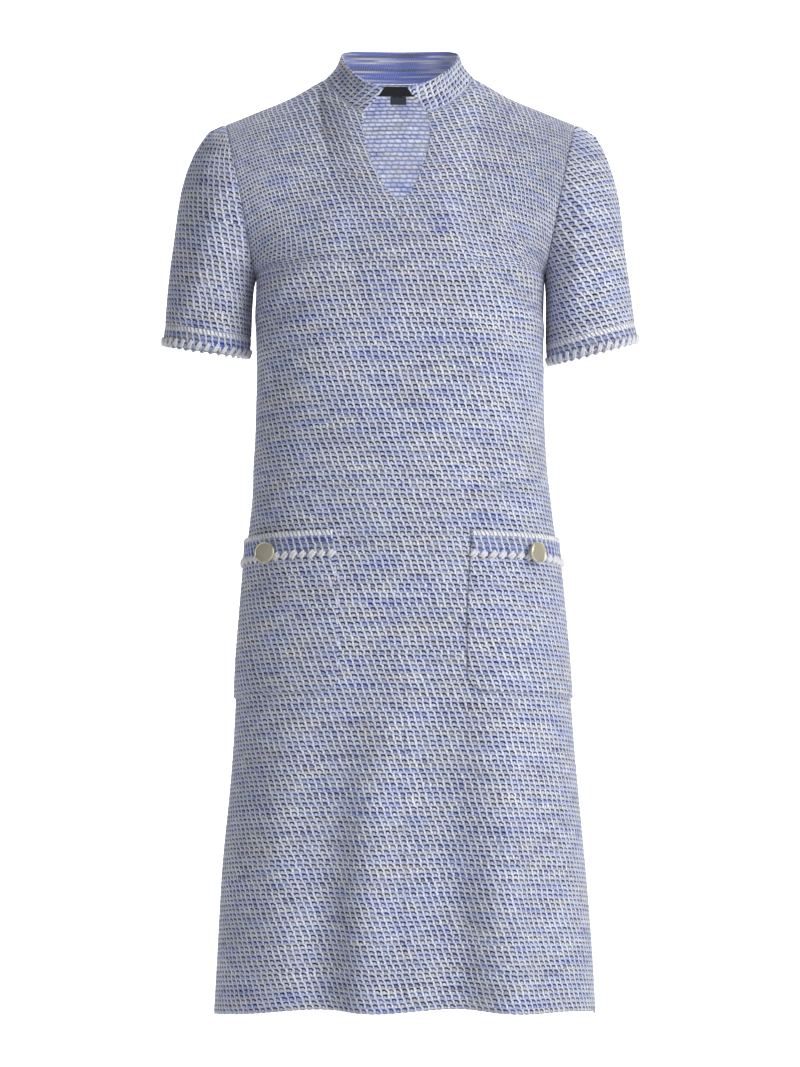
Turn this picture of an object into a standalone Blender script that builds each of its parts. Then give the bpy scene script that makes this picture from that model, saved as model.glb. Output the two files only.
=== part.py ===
"""Knee-length shift dress in a heavy knitted tweed, filled out as it is when worn.

Frame: metres, +Z up, the front of the dress faces -Y, the wearer's left is +X.
The origin is where the wearer's shoulders carry the dress: on the mid plane, between the two
shoulder seams, at the middle of their height.

The cloth is one continuous outer surface, worked out from the tables below, then cut into the
pieces that are sewn together.  Every piece is a wall of its own thickness behind that surface.
"""
import math

import bmesh
import bpy
import numpy as np
from mathutils import Matrix, Vector

# ---------------------------------------------------------------- driving sizes (metres)
CLOTH = 0.0020            # body and sleeve cloth, a bulky knitted tweed
COLLAR_CLOTH = 0.0030     # stand collar, two layers of the knit
BAND_CLOTH = 0.0024       # contrast bands on the sleeves and pockets
POCKET_CLOTH = 0.0016
LABEL_CLOTH = 0.0010
SEAM_PULL = 0.00028       # each piece stops this far short of its seam line
LAID_ON = 0.0008          # clear gap under a piece that lies on a panel

Z_HEM, Z_UNDERARM = -0.972, -0.187
POCKET_TOP, POCKET_BOTTOM = -0.4664, -0.6360  # heights of its edges, measured at the side seam
POCKET_CORNER = 0.020     # radius of the lower inner corner
BAND_TALL, CUFF_TALL = 0.0280, 0.0205         # contrast bands on the pockets and the sleeves
BUTTON_RADIUS, BUTTON_THICK = 0.0113, 0.0034
LABEL_WIDE, LABEL_TOP, LABEL_LOW = 0.066, 0.0265, 0.0165
TAB_WIDE, TAB_SHIFT, TAB_TOP, TAB_LOW = 0.018, -0.0040, 0.0160, 0.0080


def table(columns, rows):
    """A short table with named columns, one row for each section."""
    return {c: np.array([r[i] for r in rows], float) for i, c in enumerate(columns.split())}


# Level sections of the body from hem to underarm.  Depths run from the side seam's plane to the
# middle of the front and of the back; square is the superellipse power, 2 for an ellipse; lift is
# how much higher a thread of the cloth runs at centre front and back than at the side seams.
SECTIONS = table("z     half_width front  back  square_f square_b shift  lift_f lift_b", [
    (-0.972, 0.2040, 0.1300, 0.140, 2.55, 2.4,  0.0030, 0.0150, 0.004),
    (-0.850, 0.1968, 0.1270, 0.137, 2.55, 2.4,  0.0025, 0.0145, 0.004),
    (-0.700, 0.1835, 0.1240, 0.131, 2.50, 2.4,  0.0020, 0.0140, 0.004),
    (-0.580, 0.1750, 0.1210, 0.125, 2.45, 2.4,  0.0010, 0.0130, 0.004),
    (-0.490, 0.1675, 0.1150, 0.108, 2.40, 2.4,  0.0000, 0.0130, 0.003),
    (-0.420, 0.1590, 0.1110, 0.092, 2.40, 2.3, -0.0010, 0.0125, 0.002),
    (-0.340, 0.1545, 0.1130, 0.085, 2.50, 2.3, -0.0020, 0.0120, 0.001),
    (-0.260, 0.1530, 0.1190, 0.090, 2.65, 2.3, -0.0020, 0.0120, 0.000),
    (-0.187, 0.1540, 0.1090, 0.098, 2.50, 2.4, -0.0020, 0.0120, 0.000),
])
# The armhole, from the underarm (0) round to the tip of the shoulder (1), front and back halves.
ARMHOLE = table("t    x      y_front  y_back  z", [
    (0.00, 0.1540,  0.0000, 0.0000, -0.1870),
    (0.08, 0.1550, -0.0260, 0.0290, -0.1800),
    (0.20, 0.1585, -0.0460, 0.0520, -0.1600),
    (0.40, 0.1650, -0.0575, 0.0660, -0.1240),
    (0.60, 0.1715, -0.0560, 0.0660, -0.0890),
    (0.80, 0.1785, -0.0410, 0.0490, -0.0540),
    (0.92, 0.1840, -0.0200, 0.0260, -0.0320),
    (1.00, 0.1870,  0.0020, 0.0020, -0.0210),
])
# The front's middle line, then from t = V_BOTTOM up the edge of the notch.
V_BOTTOM = 0.40
NOTCH_LEAN = -0.0048      # the notch leans this far to the wearer's right at the collar
FRONT_MIDDLE = table("t    x       y       z", [
    (0.00, 0.0000, -0.1090, -0.1750),
    (0.20, 0.0000, -0.1000, -0.1440),
    (0.40, 0.0000, -0.0885, -0.1128),
    (0.48, 0.0098, -0.0855, -0.1010),
    (0.56, 0.0165, -0.0820, -0.0900),
    (0.66, 0.0232, -0.0765, -0.0755),
    (0.76, 0.0295, -0.0705, -0.0600),
    (0.85, 0.0338, -0.0640, -0.0445),
    (0.93, 0.0352, -0.0570, -0.0275),
    (1.00, 0.0342, -0.0500, -0.0110),
])
BACK_MIDDLE = table("t    x     y       z", [
    (0.00, 0.000, 0.0980, -0.1870),
    (0.25, 0.000, 0.1000, -0.1340),
    (0.50, 0.000, 0.0960, -0.0790),
    (0.75, 0.000, 0.0850, -0.0240),
    (1.00, 0.000, 0.0620,  0.0285),
])
# The collar's seam from the notch round to the middle back: s from 0 at the notch, 1 at the
# neck end of the shoulder seam, 2 at the middle of the back; then the collar's free top edge.
NECK_SEAM = table("s    x       y       z", [
    (0.00, 0.0342, -0.0500, -0.0110),
    (0.35, 0.0500, -0.0420, -0.0045),
    (0.70, 0.0680, -0.0210,  0.0120),
    (1.00, 0.0800,  0.0065,  0.0290),
    (1.30, 0.0770,  0.0260,  0.0300),
    (1.60, 0.0550,  0.0490,  0.0290),
    (2.00, 0.0000,  0.0620,  0.0285),
])
COLLAR_TOP = table("s    x       y       z", [
    (0.00, 0.0128, -0.0565,  0.0135),
    (0.35, 0.0330, -0.0470,  0.0210),
    (0.70, 0.0510, -0.0260,  0.0340),
    (1.00, 0.0618, -0.0020,  0.0490),
    (1.30, 0.0635,  0.0200,  0.0570),
    (1.60, 0.0490,  0.0440,  0.0618),
    (2.00, 0.0000,  0.0580,  0.0625),
])
# The shoulder seam, from the collar (0) to the tip of the shoulder (1).
SHOULDER = table("s    x       y       z", [
    (0.00, 0.0800, 0.0065,  0.0290),
    (0.12, 0.0905, 0.0060,  0.0232),
    (0.35, 0.1160, 0.0050,  0.0085),
    (0.70, 0.1550, 0.0030, -0.0080),
    (1.00, 0.1870, 0.0020, -0.0210),
])
NECK_SHARE = 0.40         # share of a panel's half width that its neckline takes at the top
# The pocket's inner edge: distance from centre front at heights of the side seam.  A line of the
# grid follows it.
POCKET_EDGE = table("z    x", [
    (-0.972, 0.0790),
    (-0.636, 0.0680),
    (-0.560, 0.0675),
    (-0.466, 0.0725),
    (-0.187, 0.0740),
])
# Sleeves: middle of the cuff, half width and half depth there, how far its outer end is raised.
SLEEVES = table("side  x       y      z       half_width half_depth tilt_deg", [
    (-1, -0.2095, -0.004, -0.2630, 0.0470, 0.0520,  8.5),
    (+1,  0.2045, -0.006, -0.2655, 0.0500, 0.0510, 14.5),
])
# Long soft folds: a hollow with a ridge beside it, fading out at z_top, deepest at the hem.
FOLDS = table("side  x_top   z_top   x_hem   depth   reach", [
    (-1, -0.0560, -0.560, -0.0610, 0.0075, 0.0270),
    (-1,  0.0480, -0.520,  0.0830, 0.0085, 0.0290),
    (+1, -0.0900, -0.500, -0.1120, 0.0060, 0.0300),
    (+1,  0.0150, -0.540,  0.0220, 0.0075, 0.0300),
    (+1,  0.0980, -0.560,  0.1250, 0.0055, 0.0260),
])


# ---------------------------------------------------------------- smooth curves through tables
def read(tab, key, column, at):
    """The column at the given places: a shape-preserving cubic through the table's rows."""
    x, y = tab[key], tab[column]
    at = np.clip(np.asarray(at, float), x[0], x[-1])
    h, d = np.diff(x), np.diff(y) / np.diff(x)
    m = np.zeros_like(y)
    for i in range(1, len(x) - 1):
        if d[i - 1] * d[i] > 0:
            w1, w2 = 2 * h[i] + h[i - 1], h[i] + 2 * h[i - 1]
            m[i] = (w1 + w2) / (w1 / d[i - 1] + w2 / d[i])
    m[0], m[-1] = d[0], d[-1]
    i = np.clip(np.searchsorted(x, at, side="right") - 1, 0, len(x) - 2)
    s = (at - x[i]) / h[i]
    return ((1 + 2 * s) * (1 - s) ** 2 * y[i] + s * (1 - s) ** 2 * h[i] * m[i]
            + s * s * (3 - 2 * s) * y[i + 1] + s * s * (s - 1) * h[i] * m[i + 1])


def along(tab, key, at, columns="x y z"):
    return np.stack([read(tab, key, c, at) for c in columns.split()], axis=-1)


def fold(side, x, z):
    """How far the folds push the cloth out at x, z on the front (-1) or the back (+1)."""
    out = np.zeros(np.broadcast(x, z).shape)
    for i in np.flatnonzero(FOLDS["side"] == side):
        top, depth, reach = (FOLDS[c][i] for c in ("z_top", "depth", "reach"))
        down = np.clip((top - z) / (top - Z_HEM), 0, 1)
        centre = FOLDS["x_top"][i] + (FOLDS["x_hem"][i] - FOLDS["x_top"][i]) * down
        q = (x - centre) / (reach * (1.25 - 0.25 * down))
        out = out + depth * down ** 1.3 * q * np.exp(0.5 - 0.5 * q * q)
    return out


def body(side, sgn, u, r):
    """Points of the body's outer surface. side -1 front, +1 back; sgn the wearer's right (-1) or
    left (+1) half; u from 0 at the middle to 1 at the side seam or armhole; r from 0 at the hem
    to 1 at the underarm and 2 at the shoulder."""
    u, r = np.broadcast_arrays(np.asarray(u, float), np.asarray(r, float))
    low = np.minimum(r, 1.0)
    t = np.clip(r - 1.0, 0, 1)
    zs = Z_HEM + low * (Z_UNDERARM - Z_HEM)
    a = read(SECTIONS, "z", "half_width", zs)
    b = read(SECTIONS, "z", "front" if side < 0 else "back", zs)
    n = read(SECTIONS, "z", "square_f" if side < 0 else "square_b", zs)
    lift = read(SECTIONS, "z", "lift_f" if side < 0 else "lift_b", zs)
    shift = read(SECTIONS, "z", "shift", zs)
    th = u * math.pi / 2
    sn, cs = np.sin(th), np.maximum(np.cos(th), 0)
    rr = ((cs / b) ** n + (sn / a) ** n) ** (-1 / n)
    x, y = rr * sn, side * rr * cs
    below = np.stack([x, y, zs + lift * np.abs(y) / b], -1)
    push = fold(side, sgn * x, zs) * np.clip((1 - u) / 0.18, 0, 1)
    below[..., 0] += push * sn
    below[..., 1] += side * push * cs
    # above the underarm: the same section cut short where it meets the armhole, easing into the
    # shoulder seam
    y_edge = "y_front" if side < 0 else "y_back"
    middle_of = FRONT_MIDDLE if side < 0 else BACK_MIDDLE
    middle = along(middle_of, "t", t)
    edge = along(ARMHOLE, "t", t, "x " + y_edge + " z")
    turn = np.linspace(0, math.pi / 2, 181)
    a0, b0, n0 = (tabled[-1] for tabled in (SECTIONS["half_width"], SECTIONS["front" if side < 0 else "back"],
                                            SECTIONS["square_f" if side < 0 else "square_b"]))
    reach = ((np.cos(turn) / b0) ** n0 + (np.sin(turn) / a0) ** n0) ** (-1 / n0)
    xs, depth = reach * np.sin(turn), reach * np.cos(turn) / b0
    last = np.interp(-np.clip(side * edge[..., 1] / (side * middle[..., 1]), 0, 1), -depth, turn)
    share = np.interp(u * last, turn, depth)
    share_last = np.interp(last, turn, depth)
    spread_y = (1 - share) / (1 - share_last)
    spread = np.stack([np.interp(u * last, turn, xs) / np.interp(last, turn, xs), spread_y, spread_y], -1)
    above = middle + (edge - middle) * spread
    one = np.ones_like(t)
    m1 = along(middle_of, "t", one)
    e1 = along(ARMHOLE, "t", one, "x " + y_edge + " z")
    neck_s = np.clip(u / NECK_SHARE, 0, 1)
    neck = along(NECK_SEAM, "s", neck_s if side < 0 else 2 - neck_s)
    shoulder = along(SHOULDER, "s", np.clip((u - NECK_SHARE) / (1 - NECK_SHARE), 0, 1))
    top = np.where((u <= NECK_SHARE)[..., None], neck, shoulder)
    ease = 1 - np.maximum(1 - t * t, 0) ** 0.62
    above = above + ease[..., None] * (top - (m1 + (e1 - m1) * spread))
    if side < 0:
        above[..., 0] += sgn * NOTCH_LEAN * (1 - neck_s) * np.clip((t - V_BOTTOM) / (1 - V_BOTTOM), 0, 1)
    p = np.where((r <= 1)[..., None], below, above)
    p[..., 0] = sgn * p[..., 0] + shift
    return p


def sleeve(sgn, t, side, k):
    """Points of a sleeve's outer surface: t round the armhole as in ARMHOLE, side -1 for its front
    half and +1 for its back half, k from 0 at the armhole to 1 at the cuff."""
    t, side, k = np.broadcast_arrays(np.asarray(t, float), np.asarray(side, float), np.asarray(k, float))
    i = 0 if sgn < 0 else 1
    fine = np.linspace(0, 1, 201)
    s = np.zeros(t.shape)
    start = np.zeros(t.shape + (3,))
    for half, col in ((-1, "y_front"), (1, "y_back")):
        line = along(ARMHOLE, "t", fine, f"x {col} z")
        far = np.concatenate([[0], np.cumsum(np.linalg.norm(np.diff(line, axis=0), axis=1))])
        pick = side == half
        s = np.where(pick, np.interp(t, fine, far / far[-1]), s)
        start = np.where(pick[..., None], along(ARMHOLE, "t", t, f"x {col} z"), start)
    start[..., 0] = sgn * start[..., 0] + SECTIONS["shift"][-1]
    tilt = math.radians(SLEEVES["tilt_deg"][i])
    outer = np.array([sgn * math.cos(tilt), 0, math.sin(tilt)])
    down = np.array([sgn * math.sin(tilt), 0, -math.cos(tilt)])
    turn = math.pi * (1 - s)
    centre = np.array([SLEEVES[c][i] for c in "xyz"])
    end = (centre + SLEEVES["half_width"][i] * np.cos(turn)[..., None] * outer
           + (side * SLEEVES["half_depth"][i] * np.sin(turn))[..., None] * np.array([0, 1, 0]))
    step = lambda lo, hi, v: (lambda q: q * q * (3 - 2 * q))(np.clip((v - lo) / (hi - lo), 0, 1))
    top, under = step(0.45, 1.0, s), 1 - step(0.0, 0.40, s)
    mid = 1 - top - under
    ahead = (top[..., None] * np.array([sgn * 0.170, 0, -0.030])
             + mid[..., None] * np.array([sgn * 0.110, 0, -0.070])
             + under[..., None] * np.array([sgn * 0.010, 0, -0.060]))
    ahead[..., 1] += mid * side * 0.055
    last = down * (0.235 * top + 0.16 * mid + 0.07 * under)[..., None]
    k = k[..., None]
    return ((2 * k ** 3 - 3 * k ** 2 + 1) * start + (k ** 3 - 2 * k ** 2 + k) * ahead
            + (3 * k ** 2 - 2 * k ** 3) * end + (k ** 3 - k ** 2) * last)


def collar(sgn, s, h):
    """Points of the collar's outer face: s as in NECK_SEAM, h from 0 at the seam to 1 at the top."""
    s, h = np.broadcast_arrays(np.asarray(s, float), np.asarray(h, float))
    base, top = along(NECK_SEAM, "s", s), along(COLLAR_TOP, "s", s)
    p = base + (top - base) * h[..., None]
    out = np.stack([base[..., 0], base[..., 1] - 0.01, np.zeros_like(s)], -1)
    out /= np.maximum(np.linalg.norm(out, axis=-1), 1e-6)[..., None]
    p -= out * (0.0022 * np.sin(math.pi * h))[..., None]      # the stand curves in towards the neck
    p[..., 0] += sgn * NOTCH_LEAN * np.clip(1 - s, 0, 1)
    p[..., 0] = sgn * p[..., 0] + SECTIONS["shift"][-1]
    return p


# ---------------------------------------------------------------- walls
class Garment:
    """Collects the outer faces of all pieces, so that their walls share directions at the seams."""

    def __init__(self):
        self.points, self.index, self.pieces = [], {}, {}

    def point(self, p):
        key = tuple(np.round(p, 6))
        if key not in self.index:
            self.index[key] = len(self.points)
            self.points.append(np.array(p, float))
        return self.index[key]

    def grid(self, name, p, ring=False, flip=False):
        """Adds a grid of points, rows by columns, as quads facing out of the garment, and returns
        their numbers."""
        rows, cols = p.shape[:2]
        ids = [[self.point(p[i, j]) for j in range(cols)] for i in range(rows)]
        faces = self.pieces.setdefault(name, [])
        for i in range(rows - 1):
            for j in range(cols if ring else cols - 1):
                f = [ids[i][j], ids[i][(j + 1) % cols], ids[i + 1][(j + 1) % cols], ids[i + 1][j]]
                f = [v for n, v in enumerate(f) if v != f[n - 1]]
                if len(f) > 2:
                    faces.append(f[::-1] if flip else f)
        return np.array(ids)

    def normals(self):
        pts = np.array(self.points)
        total = np.zeros_like(pts)
        for faces in self.pieces.values():
            for f in faces:
                q = pts[f]
                n = np.cross(q[1] - q[0], q[2] - q[0])
                if len(f) == 4:
                    n = n + np.cross(q[2] - q[0], q[3] - q[0])
                for v in f:
                    total[v] += n
        return total / np.maximum(np.linalg.norm(total, axis=1), 1e-12)[:, None]

    @staticmethod
    def split(f, pts):
        """A quad as two triangles across its shorter diagonal."""
        if len(f) == 3:
            return [f]
        if np.linalg.norm(pts[f[0]] - pts[f[2]]) <= np.linalg.norm(pts[f[1]] - pts[f[3]]):
            return [[f[0], f[1], f[2]], [f[0], f[2], f[3]]]
        return [[f[0], f[1], f[3]], [f[1], f[2], f[3]]]

    def wall(self, name, thick, normal):
        """The piece as a closed wall of that thickness behind its outer faces."""
        pts, faces = np.array(self.points), self.pieces[name]
        users = {}
        for other, fs in self.pieces.items():
            for f in fs:
                for v in f:
                    users.setdefault(v, set()).add(other)
        own = sorted({v for f in faces for v in f})
        facing, middle, count = {v: np.zeros(3) for v in own}, {v: np.zeros(3) for v in own}, {v: 0 for v in own}
        edges = {}
        for f in faces:
            q = pts[f]
            n = np.cross(q[1] - q[0], q[2] - q[0])
            n /= max(np.linalg.norm(n), 1e-12)
            for k, v in enumerate(f):
                facing[v] += n
                middle[v] += q.mean(0)
                count[v] += 1
                edge = (v, f[(k + 1) % len(f)])
                edges[edge] = edges.get(edge, 0) + 1
        rim = [(a, b) for (a, b) in edges if (b, a) not in edges]
        mesh = bmesh.new()
        outer, inner = {}, {}
        for v in own:
            p, n = pts[v], normal[v]
            if len(users[v]) > 1:                 # on a seam: stop a little short of it
                pull = middle[v] / count[v] - p
                pull -= n * (pull @ n)
                p = p + pull / max(np.linalg.norm(pull), 1e-9) * SEAM_PULL
            slant = (facing[v] / max(np.linalg.norm(facing[v]), 1e-9)) @ n
            outer[v] = mesh.verts.new(p)
            inner[v] = mesh.verts.new(p - n * thick / max(slant, 0.7))
        for f in faces:
            for part in self.split(f, pts):
                mesh.faces.new([outer[v] for v in part])
                mesh.faces.new([inner[v] for v in reversed(part)])
        for a, b in rim:                          # split alike on both sides of a seam
            if a < b:
                mesh.faces.new([outer[b], outer[a], inner[b]])
                mesh.faces.new([outer[a], inner[a], inner[b]])
            else:
                mesh.faces.new([outer[b], outer[a], inner[a]])
                mesh.faces.new([outer[b], inner[a], inner[b]])
        return mesh


# ---------------------------------------------------------------- objects
for old in list(bpy.data.objects):
    bpy.data.objects.remove(old, do_unlink=True)
dress = bpy.data.collections.new("shift_dress")
bpy.context.scene.collection.children.link(dress)


def material(name, colour, roughness, metallic=0.0):
    m = bpy.data.materials.new(name)
    m.use_nodes = True
    shader = m.node_tree.nodes["Principled BSDF"]
    shader.inputs["Base Color"].default_value = (*colour, 1)
    shader.inputs["Roughness"].default_value = roughness
    shader.inputs["Metallic"].default_value = metallic
    return m


def add(name, mesh, mat, smooth=True):
    bmesh.ops.recalc_face_normals(mesh, faces=mesh.faces)
    data = bpy.data.meshes.new(name)
    mesh.to_mesh(data)
    mesh.free()
    obj = bpy.data.objects.new(name, data)
    data.materials.append(mat)
    if smooth:
        data.shade_smooth()
        data.set_sharp_from_angle(angle=math.radians(40))
    dress.objects.link(obj)
    return obj


tweed = material("blue_tweed", (0.36, 0.40, 0.56), 0.92)
band_knit = material("contrast_band", (0.60, 0.62, 0.74), 0.92)
label_black = material("label_black", (0.015, 0.015, 0.018), 0.7)

# where the grids are divided
def row_at(z):
    return (z - Z_HEM) / (Z_UNDERARM - Z_HEM)


LOW_ROWS = np.array([0, 0.10, 0.20, 0.30, 0.37, row_at(POCKET_BOTTOM), row_at(POCKET_BOTTOM + POCKET_CORNER),
                     0.505, 0.56, row_at(POCKET_TOP - BAND_TALL), row_at(POCKET_TOP), 0.71, 0.78, 0.85, 0.92, 1.0])
UP_ROWS = np.array([0.07, 0.15, 0.25, 0.40, 0.50, 0.60, 0.70, 0.79, 0.87, 0.93, 0.972, 1.0])
ROWS = np.concatenate([LOW_ROWS, 1 + UP_ROWS])
INNER_COLUMNS = np.array([0, 0.25, 0.5, 0.75])               # as shares of the way to the pocket's edge
OUTER_COLUMNS = np.array([0, 0.16, 0.31, 0.45, 0.58, 0.70, 0.81, 0.91, 1.0])      # and from there on
SLEEVE_STEPS = np.array([0, 0.14, 0.30, 0.48, 0.66, 0.83, 1.0])


def columns_of(r):
    """The grid's columns in a row: one of them follows the pocket's inner edge."""
    z = Z_HEM + min(r, 1.0) * (Z_UNDERARM - Z_HEM)
    us = np.linspace(0, 1, 201)
    line = body(-1, 1, us, min(r, 1.0))
    turn = float(np.interp(float(read(POCKET_EDGE, "z", "x", z)), line[:, 0], us))
    t = max(r - 1, 0)
    turn += (NECK_SHARE - turn) * t * t * (3 - 2 * t)
    return np.concatenate([INNER_COLUMNS * turn, turn + OUTER_COLUMNS * (1 - turn)])


g = Garment()
COLUMNS = np.array([columns_of(r) for r in ROWS])
NECK_COLUMNS = np.append(INNER_COLUMNS, 1.0)
panel_ids = {}
for sgn in (-1, 1):
    for side, name in ((-1, "front_panel"), (1, "back_panel")):
        p = body(side, sgn, COLUMNS, ROWS[:, None] + 0 * COLUMNS)
        panel_ids[name, sgn] = g.grid(name, p, flip=(side * sgn > 0))


def sleeve_ring(sgn, k):
    """A ring of the sleeve; k is a number, or one for each point of the ring."""
    ts = np.concatenate([[0], UP_ROWS])
    ts, side = np.concatenate([ts, ts[-2:0:-1]]), np.repeat([-1, 1], [len(ts), len(ts) - 2])
    return sleeve(sgn, ts, side, k)


def band_start(sgn):
    """For each point of the ring, where along the sleeve the contrast band begins."""
    ks = np.linspace(0, 1, 201)
    lines = np.array([sleeve_ring(sgn, k) for k in ks])
    left = np.concatenate([np.cumsum(np.linalg.norm(np.diff(lines, axis=0), axis=2)[::-1], axis=0)[::-1],
                           np.zeros((1, lines.shape[1]))])
    return np.array([np.interp(-CUFF_TALL, -left[:, j], ks) for j in range(lines.shape[1])])


for sgn, word in ((-1, "right"), (1, "left")):
    start = band_start(sgn)
    g.grid(f"sleeve_{word}", np.array([sleeve_ring(sgn, step * start) for step in SLEEVE_STEPS]),
           ring=True, flip=(sgn > 0))
    g.grid(f"cuff_band_{word}", np.array([sleeve_ring(sgn, k) for k in (start, (1 + start) / 2, 0 * start + 1)]),
           ring=True, flip=(sgn > 0))
    front = collar(sgn, NECK_COLUMNS[None, :], np.array([0, 0.5, 1.0])[:, None])
    back = collar(sgn, (2 - NECK_COLUMNS[::-1])[None, :], np.array([0, 0.5, 1.0])[:, None])
    g.grid("collar", front, flip=(sgn < 0))
    g.grid("collar", back, flip=(sgn < 0))

normal = g.normals()
THICK = {"front_panel": CLOTH, "back_panel": CLOTH, "collar": COLLAR_CLOTH}
for name in list(g.pieces):
    thick = THICK.get(name, BAND_CLOTH if "band" in name else CLOTH)
    add(name, g.wall(name, thick, normal), band_knit if "band" in name else tweed)


# ---------------------------------------------------------------- pieces that lie on a panel
def place(sgn, x_far, z):
    """The front's outer point at a distance from centre front, in the row of cloth whose height
    at the side seam is z, and the direction out of the cloth there."""
    us = np.linspace(0, 1, 241)
    line = body(-1, sgn, us, row_at(z))
    u = float(np.interp(x_far, sgn * (line[:, 0] - line[0, 0]), us))
    e = 1e-3
    across = body(-1, sgn, u + e, row_at(z)) - body(-1, sgn, u - e, row_at(z))
    up = body(-1, sgn, u, row_at(z) + e) - body(-1, sgn, u, row_at(z) - e)
    n = np.cross(across, up) * sgn
    return body(-1, sgn, u, row_at(z)), n / np.linalg.norm(n)


def on_grid(ids, i, j):
    """Point and outward direction on a panel's faces at a place between its rows and columns."""
    pts = np.array(g.points)
    i0, j0 = min(int(i), ids.shape[0] - 2), min(int(j), ids.shape[1] - 2)
    fi, fj = i - i0, j - j0
    out = []
    for values in (pts, normal):
        c = values[ids[i0:i0 + 2, j0:j0 + 2]]
        out.append((c[0, 0] * (1 - fj) + c[0, 1] * fj) * (1 - fi) + (c[1, 0] * (1 - fj) + c[1, 1] * fj) * fi)
    return out[0], out[1] / np.linalg.norm(out[1])


def laid_wall(points, outs, under, thick):
    """A closed wall from a grid of panel points: its back face `under` above them."""
    rows, cols = points.shape[:2]
    flat = points.reshape(-1, 3)
    mesh = bmesh.new()
    lower = [mesh.verts.new(p + n * under) for p, n in zip(flat, outs.reshape(-1, 3))]
    upper = [mesh.verts.new(p + n * (under + thick)) for p, n in zip(flat, outs.reshape(-1, 3))]
    for i in range(rows - 1):
        for j in range(cols - 1):
            k = i * cols + j
            for part in Garment.split([k, k + 1, k + cols + 1, k + cols], flat):
                mesh.faces.new([upper[v] for v in part])
                mesh.faces.new([lower[v] for v in reversed(part)])
    edge = (list(range(cols)) + [i * cols + cols - 1 for i in range(1, rows)]
            + [(rows - 1) * cols + j for j in range(cols - 2, -1, -1)] + [i * cols for i in range(rows - 2, 0, -1)])
    for a, b in zip(edge, edge[1:] + edge[:1]):
        mesh.faces.new([upper[b], upper[a], lower[a], lower[b]])
    return mesh


POCKET_EDGE_COLUMN = len(INNER_COLUMNS)
CORNER_ROWS = (0.003, 0.009)                  # extra rows above the pocket's bottom, for its corner


def pocket_piece(sgn, z_low, z_high, under, thick):
    """A piece of the pocket between two heights, from its inner edge to the side seam, on the
    panel's own rows and columns."""
    ids = panel_ids["front_panel", sgn]
    zs = [z for z in Z_HEM + LOW_ROWS * (Z_UNDERARM - Z_HEM) if z_low + 0.002 < z < z_high - 0.002]
    zs += [z_low, z_high] + [POCKET_BOTTOM + up for up in CORNER_ROWS if POCKET_BOTTOM + up > z_low]
    zs = sorted(z for z in zs if z <= z_high)
    pts, outs = [], []
    for z in zs:
        i = float(np.interp(row_at(z), ROWS, np.arange(len(ROWS))))
        across = [on_grid(ids, i, float(j))[0] for j in range(ids.shape[1])]
        run = np.concatenate([[0], np.cumsum(np.linalg.norm(np.diff(across, axis=0), axis=1))])
        up = max(z - POCKET_BOTTOM, 0.0)
        cut = POCKET_CORNER - math.sqrt(max(POCKET_CORNER ** 2 - max(POCKET_CORNER - up, 0) ** 2, 0))
        at = list(run[POCKET_EDGE_COLUMN:])
        at[0] += cut
        at[-1] -= 0.0015
        js = np.interp(at, run, np.arange(len(run)))
        got = [on_grid(ids, i, float(j)) for j in js]
        pts.append([p for p, _ in got])
        outs.append([n for _, n in got])
    return laid_wall(np.array(pts), np.array(outs), under, thick)


for sgn, word in ((-1, "right"), (1, "left")):
    seam = POCKET_TOP - BAND_TALL
    add(f"pocket_{word}", pocket_piece(sgn, POCKET_BOTTOM, seam - 0.0003, LAID_ON, POCKET_CLOTH), tweed)
    add(f"pocket_band_{word}", pocket_piece(sgn, seam + 0.0003, POCKET_TOP, LAID_ON, BAND_CLOTH), band_knit)

# ---------------------------------------------------------------- buttons: a domed disc on a shank
button_face = material("button_face", (0.62, 0.60, 0.47), 0.45, 0.35)
BUTTONS = table("side  x_far   z       lean_out_deg lean_up_deg", [
    (-1, 0.1380, -0.4885, -20.0, -4.0),
    (+1, 0.1350, -0.4880,  4.0,  2.0),
])
SHANK_TALL, SHANK_RADIUS = 0.0040, 0.0028


def button(name, sgn, x_far, z, lean_out, lean_up):
    half = BUTTON_THICK / 2
    profile = [(0.0, half + 0.0004), (BUTTON_RADIUS * 0.60, half + 0.0003), (BUTTON_RADIUS * 0.86, half),
               (BUTTON_RADIUS * 0.97, half * 0.75), (BUTTON_RADIUS, 0.0), (BUTTON_RADIUS * 0.93, -half * 0.8),
               (BUTTON_RADIUS * 0.70, -half), (SHANK_RADIUS, -half), (SHANK_RADIUS * 0.9, -half - SHANK_TALL),
               (0.0, -half - SHANK_TALL)]
    data = bpy.data.meshes.new(name)
    data.from_pydata([(x, 0, h) for x, h in profile], [(i, i + 1) for i in range(len(profile) - 1)], [])
    obj = bpy.data.objects.new(name, data)
    screw = obj.modifiers.new("turned", "SCREW")
    screw.axis, screw.steps, screw.render_steps = "Z", 28, 28
    screw.use_merge_vertices, screw.merge_threshold = True, 0.00005
    screw.use_smooth_shade = True
    data.materials.append(button_face)
    dress.objects.link(obj)
    p, n = place(sgn, x_far, z)
    out = Vector(n)
    base = Vector(p) + out * (LAID_ON + BAND_CLOTH + 0.0006)
    face = Matrix.Rotation(math.radians(lean_out) * sgn, 3, "Z") @ out
    face = Matrix.Rotation(math.radians(lean_up), 3, "X") @ face
    turn = face.to_track_quat("Z", "Y")
    obj.rotation_mode = "QUATERNION"
    obj.rotation_quaternion = turn
    lift = 0.0008 + SHANK_RADIUS * math.sin(out.angle(face))
    obj.location = base + out * lift + turn @ Vector((0, 0, half + SHANK_TALL))
    return obj


for i, word in enumerate(("right", "left")):
    button(f"button_{word}", BUTTONS["side"][i], BUTTONS["x_far"][i], BUTTONS["z"][i],
           BUTTONS["lean_out_deg"][i], BUTTONS["lean_up_deg"][i])


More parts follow.
